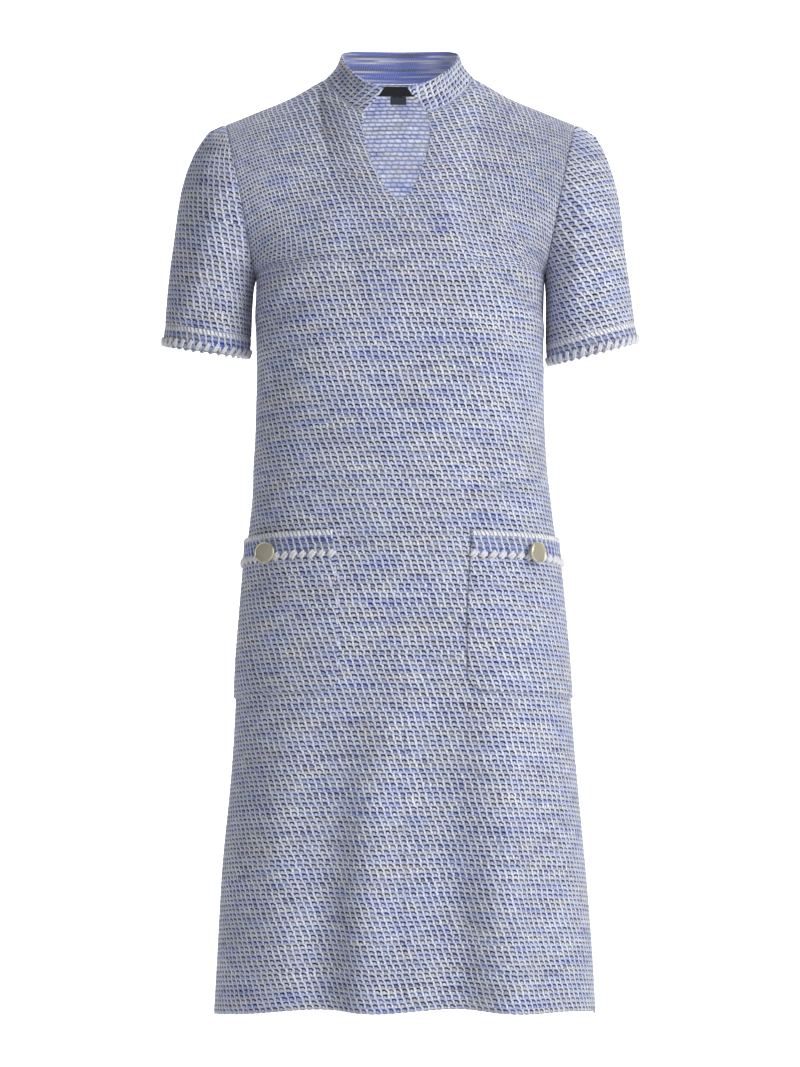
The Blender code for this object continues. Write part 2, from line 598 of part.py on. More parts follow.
# ---------------------------------------------------------------- labels inside the back neck
def label(name, x_low, x_high, z_low, z_high, under):
    """A strip on the back panel's inner side, below the collar's seam."""
    ids = [panel_ids["back_panel", sgn] for sgn in (-1, 1)]
    pts, outs = [], []
    for z in np.linspace(z_low, z_high, 4):
        got = []
        for x in np.linspace(x_low, x_high, 9):
            rows = []
            for i in np.linspace(len(ROWS) - 6, len(ROWS) - 1, 21):
                half = [[on_grid(k, i, float(j)) for j in range(6)] for k in ids]
                line = half[0][:0:-1] + half[1]
                px = [q[0][0] for q in line]
                rows.append([np.interp(x, px, [q[part][c] for q in line]) for part in (0, 1) for c in range(3)])
            rows = np.array(rows)
            got.append([np.interp(z, rows[:, 2], rows[:, c]) for c in range(6)])
        got = np.array(got)
        pts.append(got[:, :3])
        outs.append(-got[:, 3:] / np.linalg.norm(got[:, 3:], axis=1)[:, None])
    add(name, laid_wall(np.array(pts), np.array(outs), under, LABEL_CLOTH), label_black)


label("neck_label", -LABEL_WIDE / 2, LABEL_WIDE / 2, LABEL_LOW, LABEL_TOP, CLOTH + 0.0008)
label("size_tab", TAB_SHIFT - TAB_WIDE / 2, TAB_SHIFT + TAB_WIDE / 2, TAB_LOW, TAB_TOP, CLOTH + 0.0008)
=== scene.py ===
import math

import bpy
import numpy as np
from mathutils import Matrix, Vector


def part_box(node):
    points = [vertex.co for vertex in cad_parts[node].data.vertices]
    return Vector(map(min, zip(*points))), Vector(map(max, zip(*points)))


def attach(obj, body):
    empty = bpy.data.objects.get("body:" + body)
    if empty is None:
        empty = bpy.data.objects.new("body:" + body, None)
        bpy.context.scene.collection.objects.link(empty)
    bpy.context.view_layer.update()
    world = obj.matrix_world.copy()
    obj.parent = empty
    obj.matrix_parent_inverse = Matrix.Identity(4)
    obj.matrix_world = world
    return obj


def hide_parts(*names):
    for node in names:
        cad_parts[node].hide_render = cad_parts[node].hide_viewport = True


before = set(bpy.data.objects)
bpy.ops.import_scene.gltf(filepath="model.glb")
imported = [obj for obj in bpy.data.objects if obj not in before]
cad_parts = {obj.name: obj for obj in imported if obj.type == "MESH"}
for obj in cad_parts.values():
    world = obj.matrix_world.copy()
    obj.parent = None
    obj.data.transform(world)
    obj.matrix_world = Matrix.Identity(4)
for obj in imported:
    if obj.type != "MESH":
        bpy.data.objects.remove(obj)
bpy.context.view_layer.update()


# ---------------------------------------------------------------- sizes shared with the solid
CLOTH, COLLAR_CLOTH, BAND_CLOTH = 0.0022, 0.0030, 0.0024
Z_HEM, Z_UNDERARM = -0.972, -0.187
POCKET_TOP, POCKET_BOTTOM, POCKET_CORNER = -0.4664, -0.6360, 0.020
BAND_TALL, CUFF_TALL = 0.0280, 0.0205
BUTTON_RADIUS, BUTTON_THICK = 0.0113, 0.0034
LABEL_WIDE, LABEL_TOP, LABEL_LOW = 0.066, 0.0265, 0.0165
TAB_WIDE, TAB_SHIFT, TAB_TOP, TAB_LOW = 0.018, -0.0040, 0.0160, 0.0080
W, H, LEAN = 0.00738, 0.00498, 0.228       # pitch of the stitch columns and rows; lean per row


def table(columns, rows):
    """A short table with named columns, one row for each section."""
    return {c: np.array([r[i] for r in rows], float) for i, c in enumerate(columns.split())}


# Level sections of the body from hem to underarm.  Depths run from the side seam's plane to the
# middle of the front and of the back; square is the superellipse power, 2 for an ellipse; lift is
# how much higher a thread of the cloth runs at centre front and back than at the side seams.
SECTIONS = table("z     half_width front  back  square_f square_b shift  lift_f lift_b", [
    (-0.972, 0.2040, 0.1300, 0.140, 2.55, 2.4,  0.0030, 0.0150, 0.004),
    (-0.850, 0.1968, 0.1270, 0.137, 2.55, 2.4,  0.0025, 0.0145, 0.004),
    (-0.700, 0.1835, 0.1240, 0.131, 2.50, 2.4,  0.0020, 0.0140, 0.004),
    (-0.580, 0.1750, 0.1210, 0.125, 2.45, 2.4,  0.0010, 0.0130, 0.004),
    (-0.490, 0.1675, 0.1150, 0.108, 2.40, 2.4,  0.0000, 0.0130, 0.003),
    (-0.420, 0.1590, 0.1110, 0.092, 2.40, 2.3, -0.0010, 0.0125, 0.002),
    (-0.340, 0.1545, 0.1130, 0.085, 2.50, 2.3, -0.0020, 0.0120, 0.001),
    (-0.260, 0.1530, 0.1190, 0.090, 2.65, 2.3, -0.0020, 0.0120, 0.000),
    (-0.187, 0.1540, 0.1090, 0.098, 2.50, 2.4, -0.0020, 0.0120, 0.000),
])
# The armhole, from the underarm (0) round to the tip of the shoulder (1), front and back halves.
ARMHOLE = table("t    x      y_front  y_back  z", [
    (0.00, 0.1540,  0.0000, 0.0000, -0.1870),
    (0.08, 0.1550, -0.0260, 0.0290, -0.1800),
    (0.20, 0.1585, -0.0460, 0.0520, -0.1600),
    (0.40, 0.1650, -0.0575, 0.0660, -0.1240),
    (0.60, 0.1715, -0.0560, 0.0660, -0.0890),
    (0.80, 0.1785, -0.0410, 0.0490, -0.0540),
    (0.92, 0.1840, -0.0200, 0.0260, -0.0320),
    (1.00, 0.1870,  0.0020, 0.0020, -0.0210),
])
# The front's middle line, then from t = V_BOTTOM up the edge of the notch.
V_BOTTOM = 0.40
NOTCH_LEAN = -0.0048      # the notch leans this far to the wearer's right at the collar
FRONT_MIDDLE = table("t    x       y       z", [
    (0.00, 0.0000, -0.1090, -0.1750),
    (0.20, 0.0000, -0.1000, -0.1440),
    (0.40, 0.0000, -0.0885, -0.1128),
    (0.48, 0.0098, -0.0855, -0.1010),
    (0.56, 0.0165, -0.0820, -0.0900),
    (0.66, 0.0232, -0.0765, -0.0755),
    (0.76, 0.0295, -0.0705, -0.0600),
    (0.85, 0.0338, -0.0640, -0.0445),
    (0.93, 0.0352, -0.0570, -0.0275),
    (1.00, 0.0342, -0.0500, -0.0110),
])
BACK_MIDDLE = table("t    x     y       z", [
    (0.00, 0.000, 0.0980, -0.1870),
    (0.25, 0.000, 0.1000, -0.1340),
    (0.50, 0.000, 0.0960, -0.0790),
    (0.75, 0.000, 0.0850, -0.0240),
    (1.00, 0.000, 0.0620,  0.0285),
])
# The collar's seam from the notch round to the middle back: s from 0 at the notch, 1 at the
# neck end of the shoulder seam, 2 at the middle of the back; then the collar's free top edge.
NECK_SEAM = table("s    x       y       z", [
    (0.00, 0.0342, -0.0500, -0.0110),
    (0.35, 0.0500, -0.0420, -0.0045),
    (0.70, 0.0680, -0.0210,  0.0120),
    (1.00, 0.0800,  0.0065,  0.0290),
    (1.30, 0.0770,  0.0260,  0.0300),
    (1.60, 0.0550,  0.0490,  0.0290),
    (2.00, 0.0000,  0.0620,  0.0285),
])
COLLAR_TOP = table("s    x       y       z", [
    (0.00, 0.0128, -0.0565,  0.0135),
    (0.35, 0.0330, -0.0470,  0.0210),
    (0.70, 0.0510, -0.0260,  0.0340),
    (1.00, 0.0618, -0.0020,  0.0490),
    (1.30, 0.0635,  0.0200,  0.0570),
    (1.60, 0.0490,  0.0440,  0.0618),
    (2.00, 0.0000,  0.0580,  0.0625),
])
# The shoulder seam, from the collar (0) to the tip of the shoulder (1).
SHOULDER = table("s    x       y       z", [
    (0.00, 0.0800, 0.0065,  0.0290),
    (0.12, 0.0905, 0.0060,  0.0232),
    (0.35, 0.1160, 0.0050,  0.0085),
    (0.70, 0.1550, 0.0030, -0.0080),
    (1.00, 0.1870, 0.0020, -0.0210),
])
NECK_SHARE = 0.40         # share of a panel's half width that its neckline takes at the top
# The pocket's inner edge: distance from centre front at heights of the side seam.  A line of the
# grid follows it.
POCKET_EDGE = table("z    x", [
    (-0.972, 0.0790),
    (-0.636, 0.0680),
    (-0.560, 0.0675),
    (-0.466, 0.0725),
    (-0.187, 0.0740),
])
# Sleeves: middle of the cuff, half width and half depth there, how far its outer end is raised.
SLEEVES = table("side  x       y      z       half_width half_depth tilt_deg", [
    (-1, -0.2095, -0.004, -0.2630, 0.0470, 0.0520,  8.5),
    (+1,  0.2045, -0.006, -0.2655, 0.0500, 0.0510, 14.5),
])
# Long soft folds: a hollow with a ridge beside it, fading out at z_top, deepest at the hem.
FOLDS = table("side  x_top   z_top   x_hem   depth   reach", [
    (-1, -0.0560, -0.560, -0.0610, 0.0075, 0.0270),
    (-1,  0.0480, -0.520,  0.0830, 0.0085, 0.0290),
    (+1, -0.0900, -0.500, -0.1120, 0.0060, 0.0300),
    (+1,  0.0150, -0.540,  0.0220, 0.0075, 0.0300),
    (+1,  0.0980, -0.560,  0.1250, 0.0055, 0.0260),
])


# ---------------------------------------------------------------- smooth curves through tables
def read(tab, key, column, at):
    """The column at the given places: a shape-preserving cubic through the table's rows."""
    x, y = tab[key], tab[column]
    at = np.clip(np.asarray(at, float), x[0], x[-1])
    h, d = np.diff(x), np.diff(y) / np.diff(x)
    m = np.zeros_like(y)
    for i in range(1, len(x) - 1):
        if d[i - 1] * d[i] > 0:
            w1, w2 = 2 * h[i] + h[i - 1], h[i] + 2 * h[i - 1]
            m[i] = (w1 + w2) / (w1 / d[i - 1] + w2 / d[i])
    m[0], m[-1] = d[0], d[-1]
    i = np.clip(np.searchsorted(x, at, side="right") - 1, 0, len(x) - 2)
    s = (at - x[i]) / h[i]
    return ((1 + 2 * s) * (1 - s) ** 2 * y[i] + s * (1 - s) ** 2 * h[i] * m[i]
            + s * s * (3 - 2 * s) * y[i + 1] + s * s * (s - 1) * h[i] * m[i + 1])


def along(tab, key, at, columns="x y z"):
    return np.stack([read(tab, key, c, at) for c in columns.split()], axis=-1)


def fold(side, x, z):
    """How far the folds push the cloth out at x, z on the front (-1) or the back (+1)."""
    out = np.zeros(np.broadcast(x, z).shape)
    for i in np.flatnonzero(FOLDS["side"] == side):
        top, depth, reach = (FOLDS[c][i] for c in ("z_top", "depth", "reach"))
        down = np.clip((top - z) / (top - Z_HEM), 0, 1)
        centre = FOLDS["x_top"][i] + (FOLDS["x_hem"][i] - FOLDS["x_top"][i]) * down
        q = (x - centre) / (reach * (1.25 - 0.25 * down))
        out = out + depth * down ** 1.3 * q * np.exp(0.5 - 0.5 * q * q)
    return out


def body(side, sgn, u, r):
    """Points of the body's outer surface. side -1 front, +1 back; sgn the wearer's right (-1) or
    left (+1) half; u from 0 at the middle to 1 at the side seam or armhole; r from 0 at the hem
    to 1 at the underarm and 2 at the shoulder."""
    u, r = np.broadcast_arrays(np.asarray(u, float), np.asarray(r, float))
    low = np.minimum(r, 1.0)
    t = np.clip(r - 1.0, 0, 1)
    zs = Z_HEM + low * (Z_UNDERARM - Z_HEM)
    a = read(SECTIONS, "z", "half_width", zs)
    b = read(SECTIONS, "z", "front" if side < 0 else "back", zs)
    n = read(SECTIONS, "z", "square_f" if side < 0 else "square_b", zs)
    lift = read(SECTIONS, "z", "lift_f" if side < 0 else "lift_b", zs)
    shift = read(SECTIONS, "z", "shift", zs)
    th = u * math.pi / 2
    sn, cs = np.sin(th), np.maximum(np.cos(th), 0)
    rr = ((cs / b) ** n + (sn / a) ** n) ** (-1 / n)
    x, y = rr * sn, side * rr * cs
    below = np.stack([x, y, zs + lift * np.abs(y) / b], -1)
    push = fold(side, sgn * x, zs) * np.clip((1 - u) / 0.18, 0, 1)
    below[..., 0] += push * sn
    below[..., 1] += side * push * cs
    # above the underarm: the same section cut short where it meets the armhole, easing into the
    # shoulder seam
    y_edge = "y_front" if side < 0 else "y_back"
    middle_of = FRONT_MIDDLE if side < 0 else BACK_MIDDLE
    middle = along(middle_of, "t", t)
    edge = along(ARMHOLE, "t", t, "x " + y_edge + " z")
    turn = np.linspace(0, math.pi / 2, 181)
    a0, b0, n0 = (tabled[-1] for tabled in (SECTIONS["half_width"], SECTIONS["front" if side < 0 else "back"],
                                            SECTIONS["square_f" if side < 0 else "square_b"]))
    reach = ((np.cos(turn) / b0) ** n0 + (np.sin(turn) / a0) ** n0) ** (-1 / n0)
    xs, depth = reach * np.sin(turn), reach * np.cos(turn) / b0
    last = np.interp(-np.clip(side * edge[..., 1] / (side * middle[..., 1]), 0, 1), -depth, turn)
    share = np.interp(u * last, turn, depth)
    share_last = np.interp(last, turn, depth)
    spread_y = (1 - share) / (1 - share_last)
    spread = np.stack([np.interp(u * last, turn, xs) / np.interp(last, turn, xs), spread_y, spread_y], -1)
    above = middle + (edge - middle) * spread
    one = np.ones_like(t)
    m1 = along(middle_of, "t", one)
    e1 = along(ARMHOLE, "t", one, "x " + y_edge + " z")
    neck_s = np.clip(u / NECK_SHARE, 0, 1)
    neck = along(NECK_SEAM, "s", neck_s if side < 0 else 2 - neck_s)
    shoulder = along(SHOULDER, "s", np.clip((u - NECK_SHARE) / (1 - NECK_SHARE), 0, 1))
    top = np.where((u <= NECK_SHARE)[..., None], neck, shoulder)
    ease = 1 - np.maximum(1 - t * t, 0) ** 0.62
    above = above + ease[..., None] * (top - (m1 + (e1 - m1) * spread))
    if side < 0:
        above[..., 0] += sgn * NOTCH_LEAN * (1 - neck_s) * np.clip((t - V_BOTTOM) / (1 - V_BOTTOM), 0, 1)
    p = np.where((r <= 1)[..., None], below, above)
    p[..., 0] = sgn * p[..., 0] + shift
    return p


def sleeve(sgn, t, side, k):
    """Points of a sleeve's outer surface: t round the armhole as in ARMHOLE, side -1 for its front
    half and +1 for its back half, k from 0 at the armhole to 1 at the cuff."""
    t, side, k = np.broadcast_arrays(np.asarray(t, float), np.asarray(side, float), np.asarray(k, float))
    i = 0 if sgn < 0 else 1
    fine = np.linspace(0, 1, 201)
    s = np.zeros(t.shape)
    start = np.zeros(t.shape + (3,))
    for half, col in ((-1, "y_front"), (1, "y_back")):
        line = along(ARMHOLE, "t", fine, f"x {col} z")
        far = np.concatenate([[0], np.cumsum(np.linalg.norm(np.diff(line, axis=0), axis=1))])
        pick = side == half
        s = np.where(pick, np.interp(t, fine, far / far[-1]), s)
        start = np.where(pick[..., None], along(ARMHOLE, "t", t, f"x {col} z"), start)
    start[..., 0] = sgn * start[..., 0] + SECTIONS["shift"][-1]
    tilt = math.radians(SLEEVES["tilt_deg"][i])
    outer = np.array([sgn * math.cos(tilt), 0, math.sin(tilt)])
    down = np.array([sgn * math.sin(tilt), 0, -math.cos(tilt)])
    turn = math.pi * (1 - s)
    centre = np.array([SLEEVES[c][i] for c in "xyz"])
    end = (centre + SLEEVES["half_width"][i] * np.cos(turn)[..., None] * outer
           + (side * SLEEVES["half_depth"][i] * np.sin(turn))[..., None] * np.array([0, 1, 0]))
    step = lambda lo, hi, v: (lambda q: q * q * (3 - 2 * q))(np.clip((v - lo) / (hi - lo), 0, 1))
    top, under = step(0.45, 1.0, s), 1 - step(0.0, 0.40, s)
    mid = 1 - top - under
    ahead = (top[..., None] * np.array([sgn * 0.170, 0, -0.030])
             + mid[..., None] * np.array([sgn * 0.110, 0, -0.070])
             + under[..., None] * np.array([sgn * 0.010, 0, -0.060]))
    ahead[..., 1] += mid * side * 0.055
    last = down * (0.235 * top + 0.16 * mid + 0.07 * under)[..., None]
    k = k[..., None]
    return ((2 * k ** 3 - 3 * k ** 2 + 1) * start + (k ** 3 - 2 * k ** 2 + k) * ahead
            + (3 * k ** 2 - 2 * k ** 3) * end + (k ** 3 - k ** 2) * last)


def collar(sgn, s, h):
    """Points of the collar's outer face: s as in NECK_SEAM, h from 0 at the seam to 1 at the top."""
    s, h = np.broadcast_arrays(np.asarray(s, float), np.asarray(h, float))
    base, top = along(NECK_SEAM, "s", s), along(COLLAR_TOP, "s", s)
    p = base + (top - base) * h[..., None]
    out = np.stack([base[..., 0], base[..., 1] - 0.01, np.zeros_like(s)], -1)
    out /= np.maximum(np.linalg.norm(out, axis=-1), 1e-6)[..., None]
    p -= out * (0.0022 * np.sin(math.pi * h))[..., None]      # the stand curves in towards the neck
    p[..., 0] += sgn * NOTCH_LEAN * np.clip(1 - s, 0, 1)
    p[..., 0] = sgn * p[..., 0] + SECTIONS["shift"][-1]
    return p


# ---------------------------------------------------------------- fine unevenness of the cloth
RUMPLES = table("piece  x       z       dx      dz      long    wide    high", [
    # soft drags on the front: bust to underarm, waist, below the pockets
    (-1, -0.118, -0.215,  0.80,  0.60, 0.050, 0.012,  0.0026),
    (-1, -0.108, -0.250,  0.90,  0.42, 0.052, 0.012,  0.0022),
    (-1,  0.116, -0.212, -0.78,  0.62, 0.050, 0.012,  0.0026),
    (-1,  0.104, -0.262, -0.92,  0.38, 0.048, 0.012,  0.0020),
    (-1, -0.060, -0.150,  0.30,  0.95, 0.050, 0.016,  0.0018),
    (-1,  0.066, -0.140, -0.25,  0.97, 0.046, 0.016,  0.0018),
    (-1, -0.100, -0.410,  0.96, -0.20, 0.060, 0.016,  0.0018),
    (-1,  0.096, -0.425, -0.97, -0.22, 0.066, 0.016,  0.0018),
    (-1, -0.030, -0.400,  0.99,  0.10, 0.070, 0.020,  0.0012),
    (-1,  0.010, -0.700,  0.10,  0.99, 0.120, 0.022,  0.0016),
    (-1, -0.120, -0.800,  0.08,  0.99, 0.120, 0.018,  0.0028),
    (-1,  0.128, -0.860, -0.10,  0.99, 0.100, 0.018,  0.0024),
    (-1, -0.0600, -0.860, 0.05,  0.99, 0.200, 0.022, -0.0054),
    (-1,  0.0760, -0.870, -0.07, 0.99, 0.200, 0.028, -0.0078),
    (-1, -0.1000, -0.900, 0.04,  0.99, 0.120, 0.020,  0.0024),
    (-1,  0.0180, -0.880, -0.02, 0.99, 0.140, 0.024, -0.0018),
    (+1, -0.110, -0.210,  0.75,  0.65, 0.052, 0.012,  0.0026),
    (+1,  0.112, -0.222, -0.80,  0.60, 0.048, 0.012,  0.0024),
    (+1, -0.070, -0.130,  0.35,  0.93, 0.050, 0.015,  0.0020),
    (+1,  0.060, -0.125, -0.28,  0.95, 0.052, 0.015,  0.0020),
    (+1, -0.020, -0.385,  0.98,  0.16, 0.078, 0.016,  0.0026),
    (+1,  0.050, -0.420, -0.98,  0.18, 0.066, 0.015,  0.0024),
    (+1, -0.080, -0.450,  0.96,  0.24, 0.050, 0.015,  0.0022),
    (+1, -0.050, -0.800,  0.06,  0.99, 0.130, 0.020,  0.0022),
    (+1,  0.070, -0.760, -0.05,  0.99, 0.140, 0.020,  0.0022),
])


def rumple(side, x, z):
    """Small drags and puckers of the cloth, pushed out (+) or in (-) in metres."""
    out = np.zeros(np.broadcast(x, z).shape)
    for i in np.flatnonzero(RUMPLES["piece"] == side):
        cx, cz, dx, dz, long, wide, high = (RUMPLES[c][i] for c in "x z dx dz long wide high".split())
        n = math.hypot(dx, dz)
        p = ((x - cx) * dx + (z - cz) * dz) / n
        q = (-(x - cx) * dz + (z - cz) * dx) / n
        q = q + 0.10 * p * p / long
        out = out + high * np.exp(-(p / long) ** 2) * (q / wide) * np.exp(0.5 - 0.5 * (q / wide) ** 2)
    f = -side
    out = out + 0.0007 * np.sin(41 * x + 13 * f * z + 1.3) * np.sin(17 * z + 2.1 * f)
    out = out + 0.0005 * np.sin(63 * x - 9 * z + 0.4) * np.cos(29 * z + 8 * x)
    return out


# ---------------------------------------------------------------- building fine walls
class Cloth:
    """All outer faces, welded, so that walls share directions along the seams."""

    def __init__(self):
        self.grids = []          # (piece, points, uv, ring, flip)

    def grid(self, piece, p, uv, ring=False, flip=False):
        self.grids.append((piece, p, uv, ring, flip))

    def weld(self):
        allp = np.concatenate([p.reshape(-1, 3) for _, p, _, _, _ in self.grids])
        key = np.round(allp * 2e5).astype(np.int64)
        _, first, inverse = np.unique(key, axis=0, return_index=True, return_inverse=True)
        inverse = inverse.reshape(-1)
        self.points = allp[first]
        self.faces = {}
        start = 0
        for piece, p, uv, ring, flip in self.grids:
            r, c = p.shape[:2]
            ids = inverse[start:start + r * c].reshape(r, c)
            start += r * c
            if ring:
                ids = np.concatenate([ids, ids[:, :1]], axis=1)
            q = np.stack([ids[:-1, :-1], ids[:-1, 1:], ids[1:, 1:], ids[1:, :-1]], -1).reshape(-1, 4)
            t = np.stack([uv[:-1, :-1], uv[:-1, 1:], uv[1:, 1:], uv[1:, :-1]], -2).reshape(-1, 4, 2)
            if flip:
                q, t = q[:, ::-1], t[:, ::-1]
            good = (q[:, 0] != q[:, 1]) & (q[:, 2] != q[:, 3]) & (q[:, 1] != q[:, 2]) & (q[:, 3] != q[:, 0])
            self.faces.setdefault(piece, []).append((q[good], t[good]))
        self.faces = {k: (np.concatenate([a for a, _ in v]), np.concatenate([b for _, b in v]))
                      for k, v in self.faces.items()}
        n = np.zeros_like(self.points)
        count = np.zeros(len(self.points), int)
        for q, _ in self.faces.values():
            p = self.points[q]
            f = np.cross(p[:, 2] - p[:, 0], p[:, 3] - p[:, 1])
            for k in range(4):
                np.add.at(n, q[:, k], f)
            count[np.unique(q)] += 1
        self.normal = n / np.maximum(np.linalg.norm(n, axis=1), 1e-12)[:, None]
        self.shared = count > 1


def make_mesh(name, verts, quads, uvs, mats, face_mat=None, smooth=True, sharp=None):
    data = bpy.data.meshes.new(name)
    quads = np.asarray(quads)
    k = quads.shape[1]
    data.vertices.add(len(verts))
    data.vertices.foreach_set("co", np.asarray(verts, np.float32).ravel())
    data.loops.add(len(quads) * k)
    data.loops.foreach_set("vertex_index", quads.astype(np.int32).ravel())
    data.polygons.add(len(quads))
    data.polygons.foreach_set("loop_start", np.arange(0, len(quads) * k, k, dtype=np.int32))
    data.polygons.foreach_set("loop_total", np.full(len(quads), k, np.int32))
    layer = data.uv_layers.new(name="flat")
    layer.data.foreach_set("uv", np.asarray(uvs, np.float32).ravel())
    for m in mats:
        data.materials.append(m)
    if face_mat is not None:
        data.polygons.foreach_set("material_index", np.asarray(face_mat, np.int32))
    data.polygons.foreach_set("use_smooth", np.full(len(quads), smooth))
    data.update()
    data.validate()
    obj = bpy.data.objects.new(name, data)
    bpy.context.scene.collection.objects.link(obj)
    if sharp:
        data.set_sharp_from_angle(angle=math.radians(sharp))
    return obj


def wall(cloth, piece, name, thick, mats, pull=0.00015, relief=None, bevel=0.0004):
    """A closed thin wall: outer faces, inner faces behind them and a softly rounded rim."""
    q, t = cloth.faces[piece]
    own, index = np.unique(q, return_inverse=True)
    q = index.reshape(q.shape)
    p, n, sh = cloth.points[own].copy(), cloth.normal[own], cloth.shared[own]
    centre = np.zeros_like(p)
    num = np.zeros(len(p))
    own_n = np.zeros_like(p)
    c = p[q].mean(1)
    f = np.cross(p[q[:, 2]] - p[q[:, 0]], p[q[:, 3]] - p[q[:, 1]])
    for k in range(4):
        np.add.at(centre, q[:, k], c)
        np.add.at(num, q[:, k], 1)
        np.add.at(own_n, q[:, k], f)
    inward = centre / num[:, None] - p
    inward -= n * (inward * n).sum(1)[:, None]
    inward /= np.maximum(np.linalg.norm(inward, axis=1), 1e-9)[:, None]
    edges = np.concatenate([q[:, [0, 1]], q[:, [1, 2]], q[:, [2, 3]], q[:, [3, 0]]])
    uv_e = np.concatenate([t[:, [0, 1]], t[:, [1, 2]], t[:, [2, 3]], t[:, [3, 0]]])
    big = len(p) + 1
    code, back = edges[:, 0] * big + edges[:, 1], edges[:, 1] * big + edges[:, 0]
    rim_mask = ~np.isin(code, back)
    rim, rim_uv = edges[rim_mask], uv_e[rim_mask]
    on_rim = np.zeros(len(p), bool)
    on_rim[rim.ravel()] = True
    slant = (own_n / np.maximum(np.linalg.norm(own_n, axis=1), 1e-12)[:, None] * n).sum(1)
    depth = thick / np.clip(slant, 0.7, 1)
    seam = on_rim & sh
    p[seam] += inward[seam] * pull
    lift = np.zeros(len(p)) if relief is None else relief(own)
    outer = p + n * lift[:, None]
    inner = p - n * depth[:, None]
    free = on_rim
    outer[free] += inward[free] * bevel - n[free] * bevel
    inner[free] += inward[free] * bevel + n[free] * bevel
    mid = p - n * (depth / 2)[:, None]
    nv = len(p)
    rid = np.unique(rim)
    remap = np.full(nv, -1)
    remap[rid] = np.arange(len(rid)) + 2 * nv
    a, b = rim[:, 0], rim[:, 1]
    r1 = np.stack([b, a, remap[a], remap[b]], 1)
    r2 = np.stack([remap[b], remap[a], a + nv, b + nv], 1)
    ru = rim_uv
    rr = np.stack([ru[:, 1], ru[:, 0], ru[:, 0], ru[:, 1]], 1)
    quads = np.concatenate([q, q[:, ::-1] + nv, r1, r2])
    uvs = np.concatenate([t, t[:, ::-1], rr, rr])
    verts = np.concatenate([outer, inner, mid[rid]])
    fm = np.concatenate([np.zeros(len(q), int), np.ones(len(q), int), np.zeros(len(r1), int), np.ones(len(r2), int)])
    area = 0.5 * np.linalg.norm(f, axis=1).sum()
    obj = make_mesh(name, verts, quads, uvs, mats, fm if len(mats) > 1 else None)
    obj["flat_area"] = float(area)
    return obj


# ---------------------------------------------------------------- shader building
class V:
    """A shader value that can be used in arithmetic."""
    tree = None

    def __init__(self, socket):
        self.s = socket

    @staticmethod
    def math(op, *args, clamp=False):
        n = V.tree.nodes.new("ShaderNodeMath")
        n.operation = op
        n.use_clamp = clamp
        for k, a in enumerate(args):
            if isinstance(a, V):
                V.tree.links.new(a.s, n.inputs[k])
            else:
                n.inputs[k].default_value = float(a)
        return V(n.outputs[0])

    def __add__(self, o): return V.math("ADD", self, o)
    def __radd__(self, o): return V.math("ADD", o, self)
    def __sub__(self, o): return V.math("SUBTRACT", self, o)
    def __rsub__(self, o): return V.math("SUBTRACT", o, self)
    def __mul__(self, o): return V.math("MULTIPLY", self, o)
    def __rmul__(self, o): return V.math("MULTIPLY", o, self)
    def __truediv__(self, o): return V.math("DIVIDE", self, o)
    def fract(self): return V.math("FRACT", self)
    def floor(self): return V.math("FLOOR", self)
    def abs(self): return V.math("ABSOLUTE", self)
    def sin(self): return V.math("SINE", self)
    def sqrt(self): return V.math("SQRT", self)
    def max(self, o): return V.math("MAXIMUM", self, o)
    def min(self, o): return V.math("MINIMUM", self, o)
    def clamp(self): return V.math("ADD", self, 0.0, clamp=True)

    def step(self, lo, hi, to_lo=0.0, to_hi=1.0):
        n = V.tree.nodes.new("ShaderNodeMapRange")
        n.interpolation_type = "SMOOTHSTEP"
        V.tree.links.new(self.s, n.inputs["Value"])
        for key, val in (("From Min", lo), ("From Max", hi), ("To Min", to_lo), ("To Max", to_hi)):
            n.inputs[key].default_value = float(val)
        return V(n.outputs["Result"])


def vec(x, y=0.0, z=0.0):
    n = V.tree.nodes.new("ShaderNodeCombineXYZ")
    for k, a in enumerate((x, y, z)):
        if isinstance(a, V):
            V.tree.links.new(a.s, n.inputs[k])
        else:
            n.inputs[k].default_value = float(a)
    return V(n.outputs[0])


def noise(v, scale=1.0, detail=2.0, rough=0.5):
    n = V.tree.nodes.new("ShaderNodeTexNoise")
    V.tree.links.new(v.s, n.inputs["Vector"])
    n.inputs["Scale"].default_value = scale
    n.inputs["Detail"].default_value = detail
    n.inputs["Roughness"].default_value = rough
    return V(n.outputs["Fac"])


def white(v):
    n = V.tree.nodes.new("ShaderNodeTexWhiteNoise")
    n.noise_dimensions = "3D"
    V.tree.links.new(v.s, n.inputs["Vector"])
    return V(n.outputs["Value"])


def mix(fac, a, b):
    n = V.tree.nodes.new("ShaderNodeMix")
    n.data_type = "RGBA"
    for sock, val in ((n.inputs[0], fac), (n.inputs[6], a), (n.inputs[7], b)):
        if isinstance(val, V):
            V.tree.links.new(val.s, sock)
        elif isinstance(val, tuple):
            sock.default_value = (*lin(val), 1.0)
        else:
            sock.default_value = float(val)
    return V(n.outputs[2])


def scale_colour(colour, by):
    n = V.tree.nodes.new("ShaderNodeVectorMath")
    n.operation = "SCALE"
    V.tree.links.new(colour.s, n.inputs[0])
    V.tree.links.new(by.s, n.inputs["Scale"])
    return V(n.outputs[0])


def ramp(fac, stops, kind="LINEAR"):
    n = V.tree.nodes.new("ShaderNodeValToRGB")
    n.color_ramp.interpolation = kind
    els = n.color_ramp.elements
    while len(els) < len(stops):
        els.new(0.5)
    for e, (pos, colour) in zip(els, stops):
        e.position = pos
        e.color = (*lin(colour), 1.0)
    V.tree.links.new(fac.s, n.inputs[0])
    return V(n.outputs[0])


def lin(c):
    return tuple((x / 255 / 12.92) if x / 255 <= 0.04045 else ((x / 255 + 0.055) / 1.055) ** 2.4 for x in c)


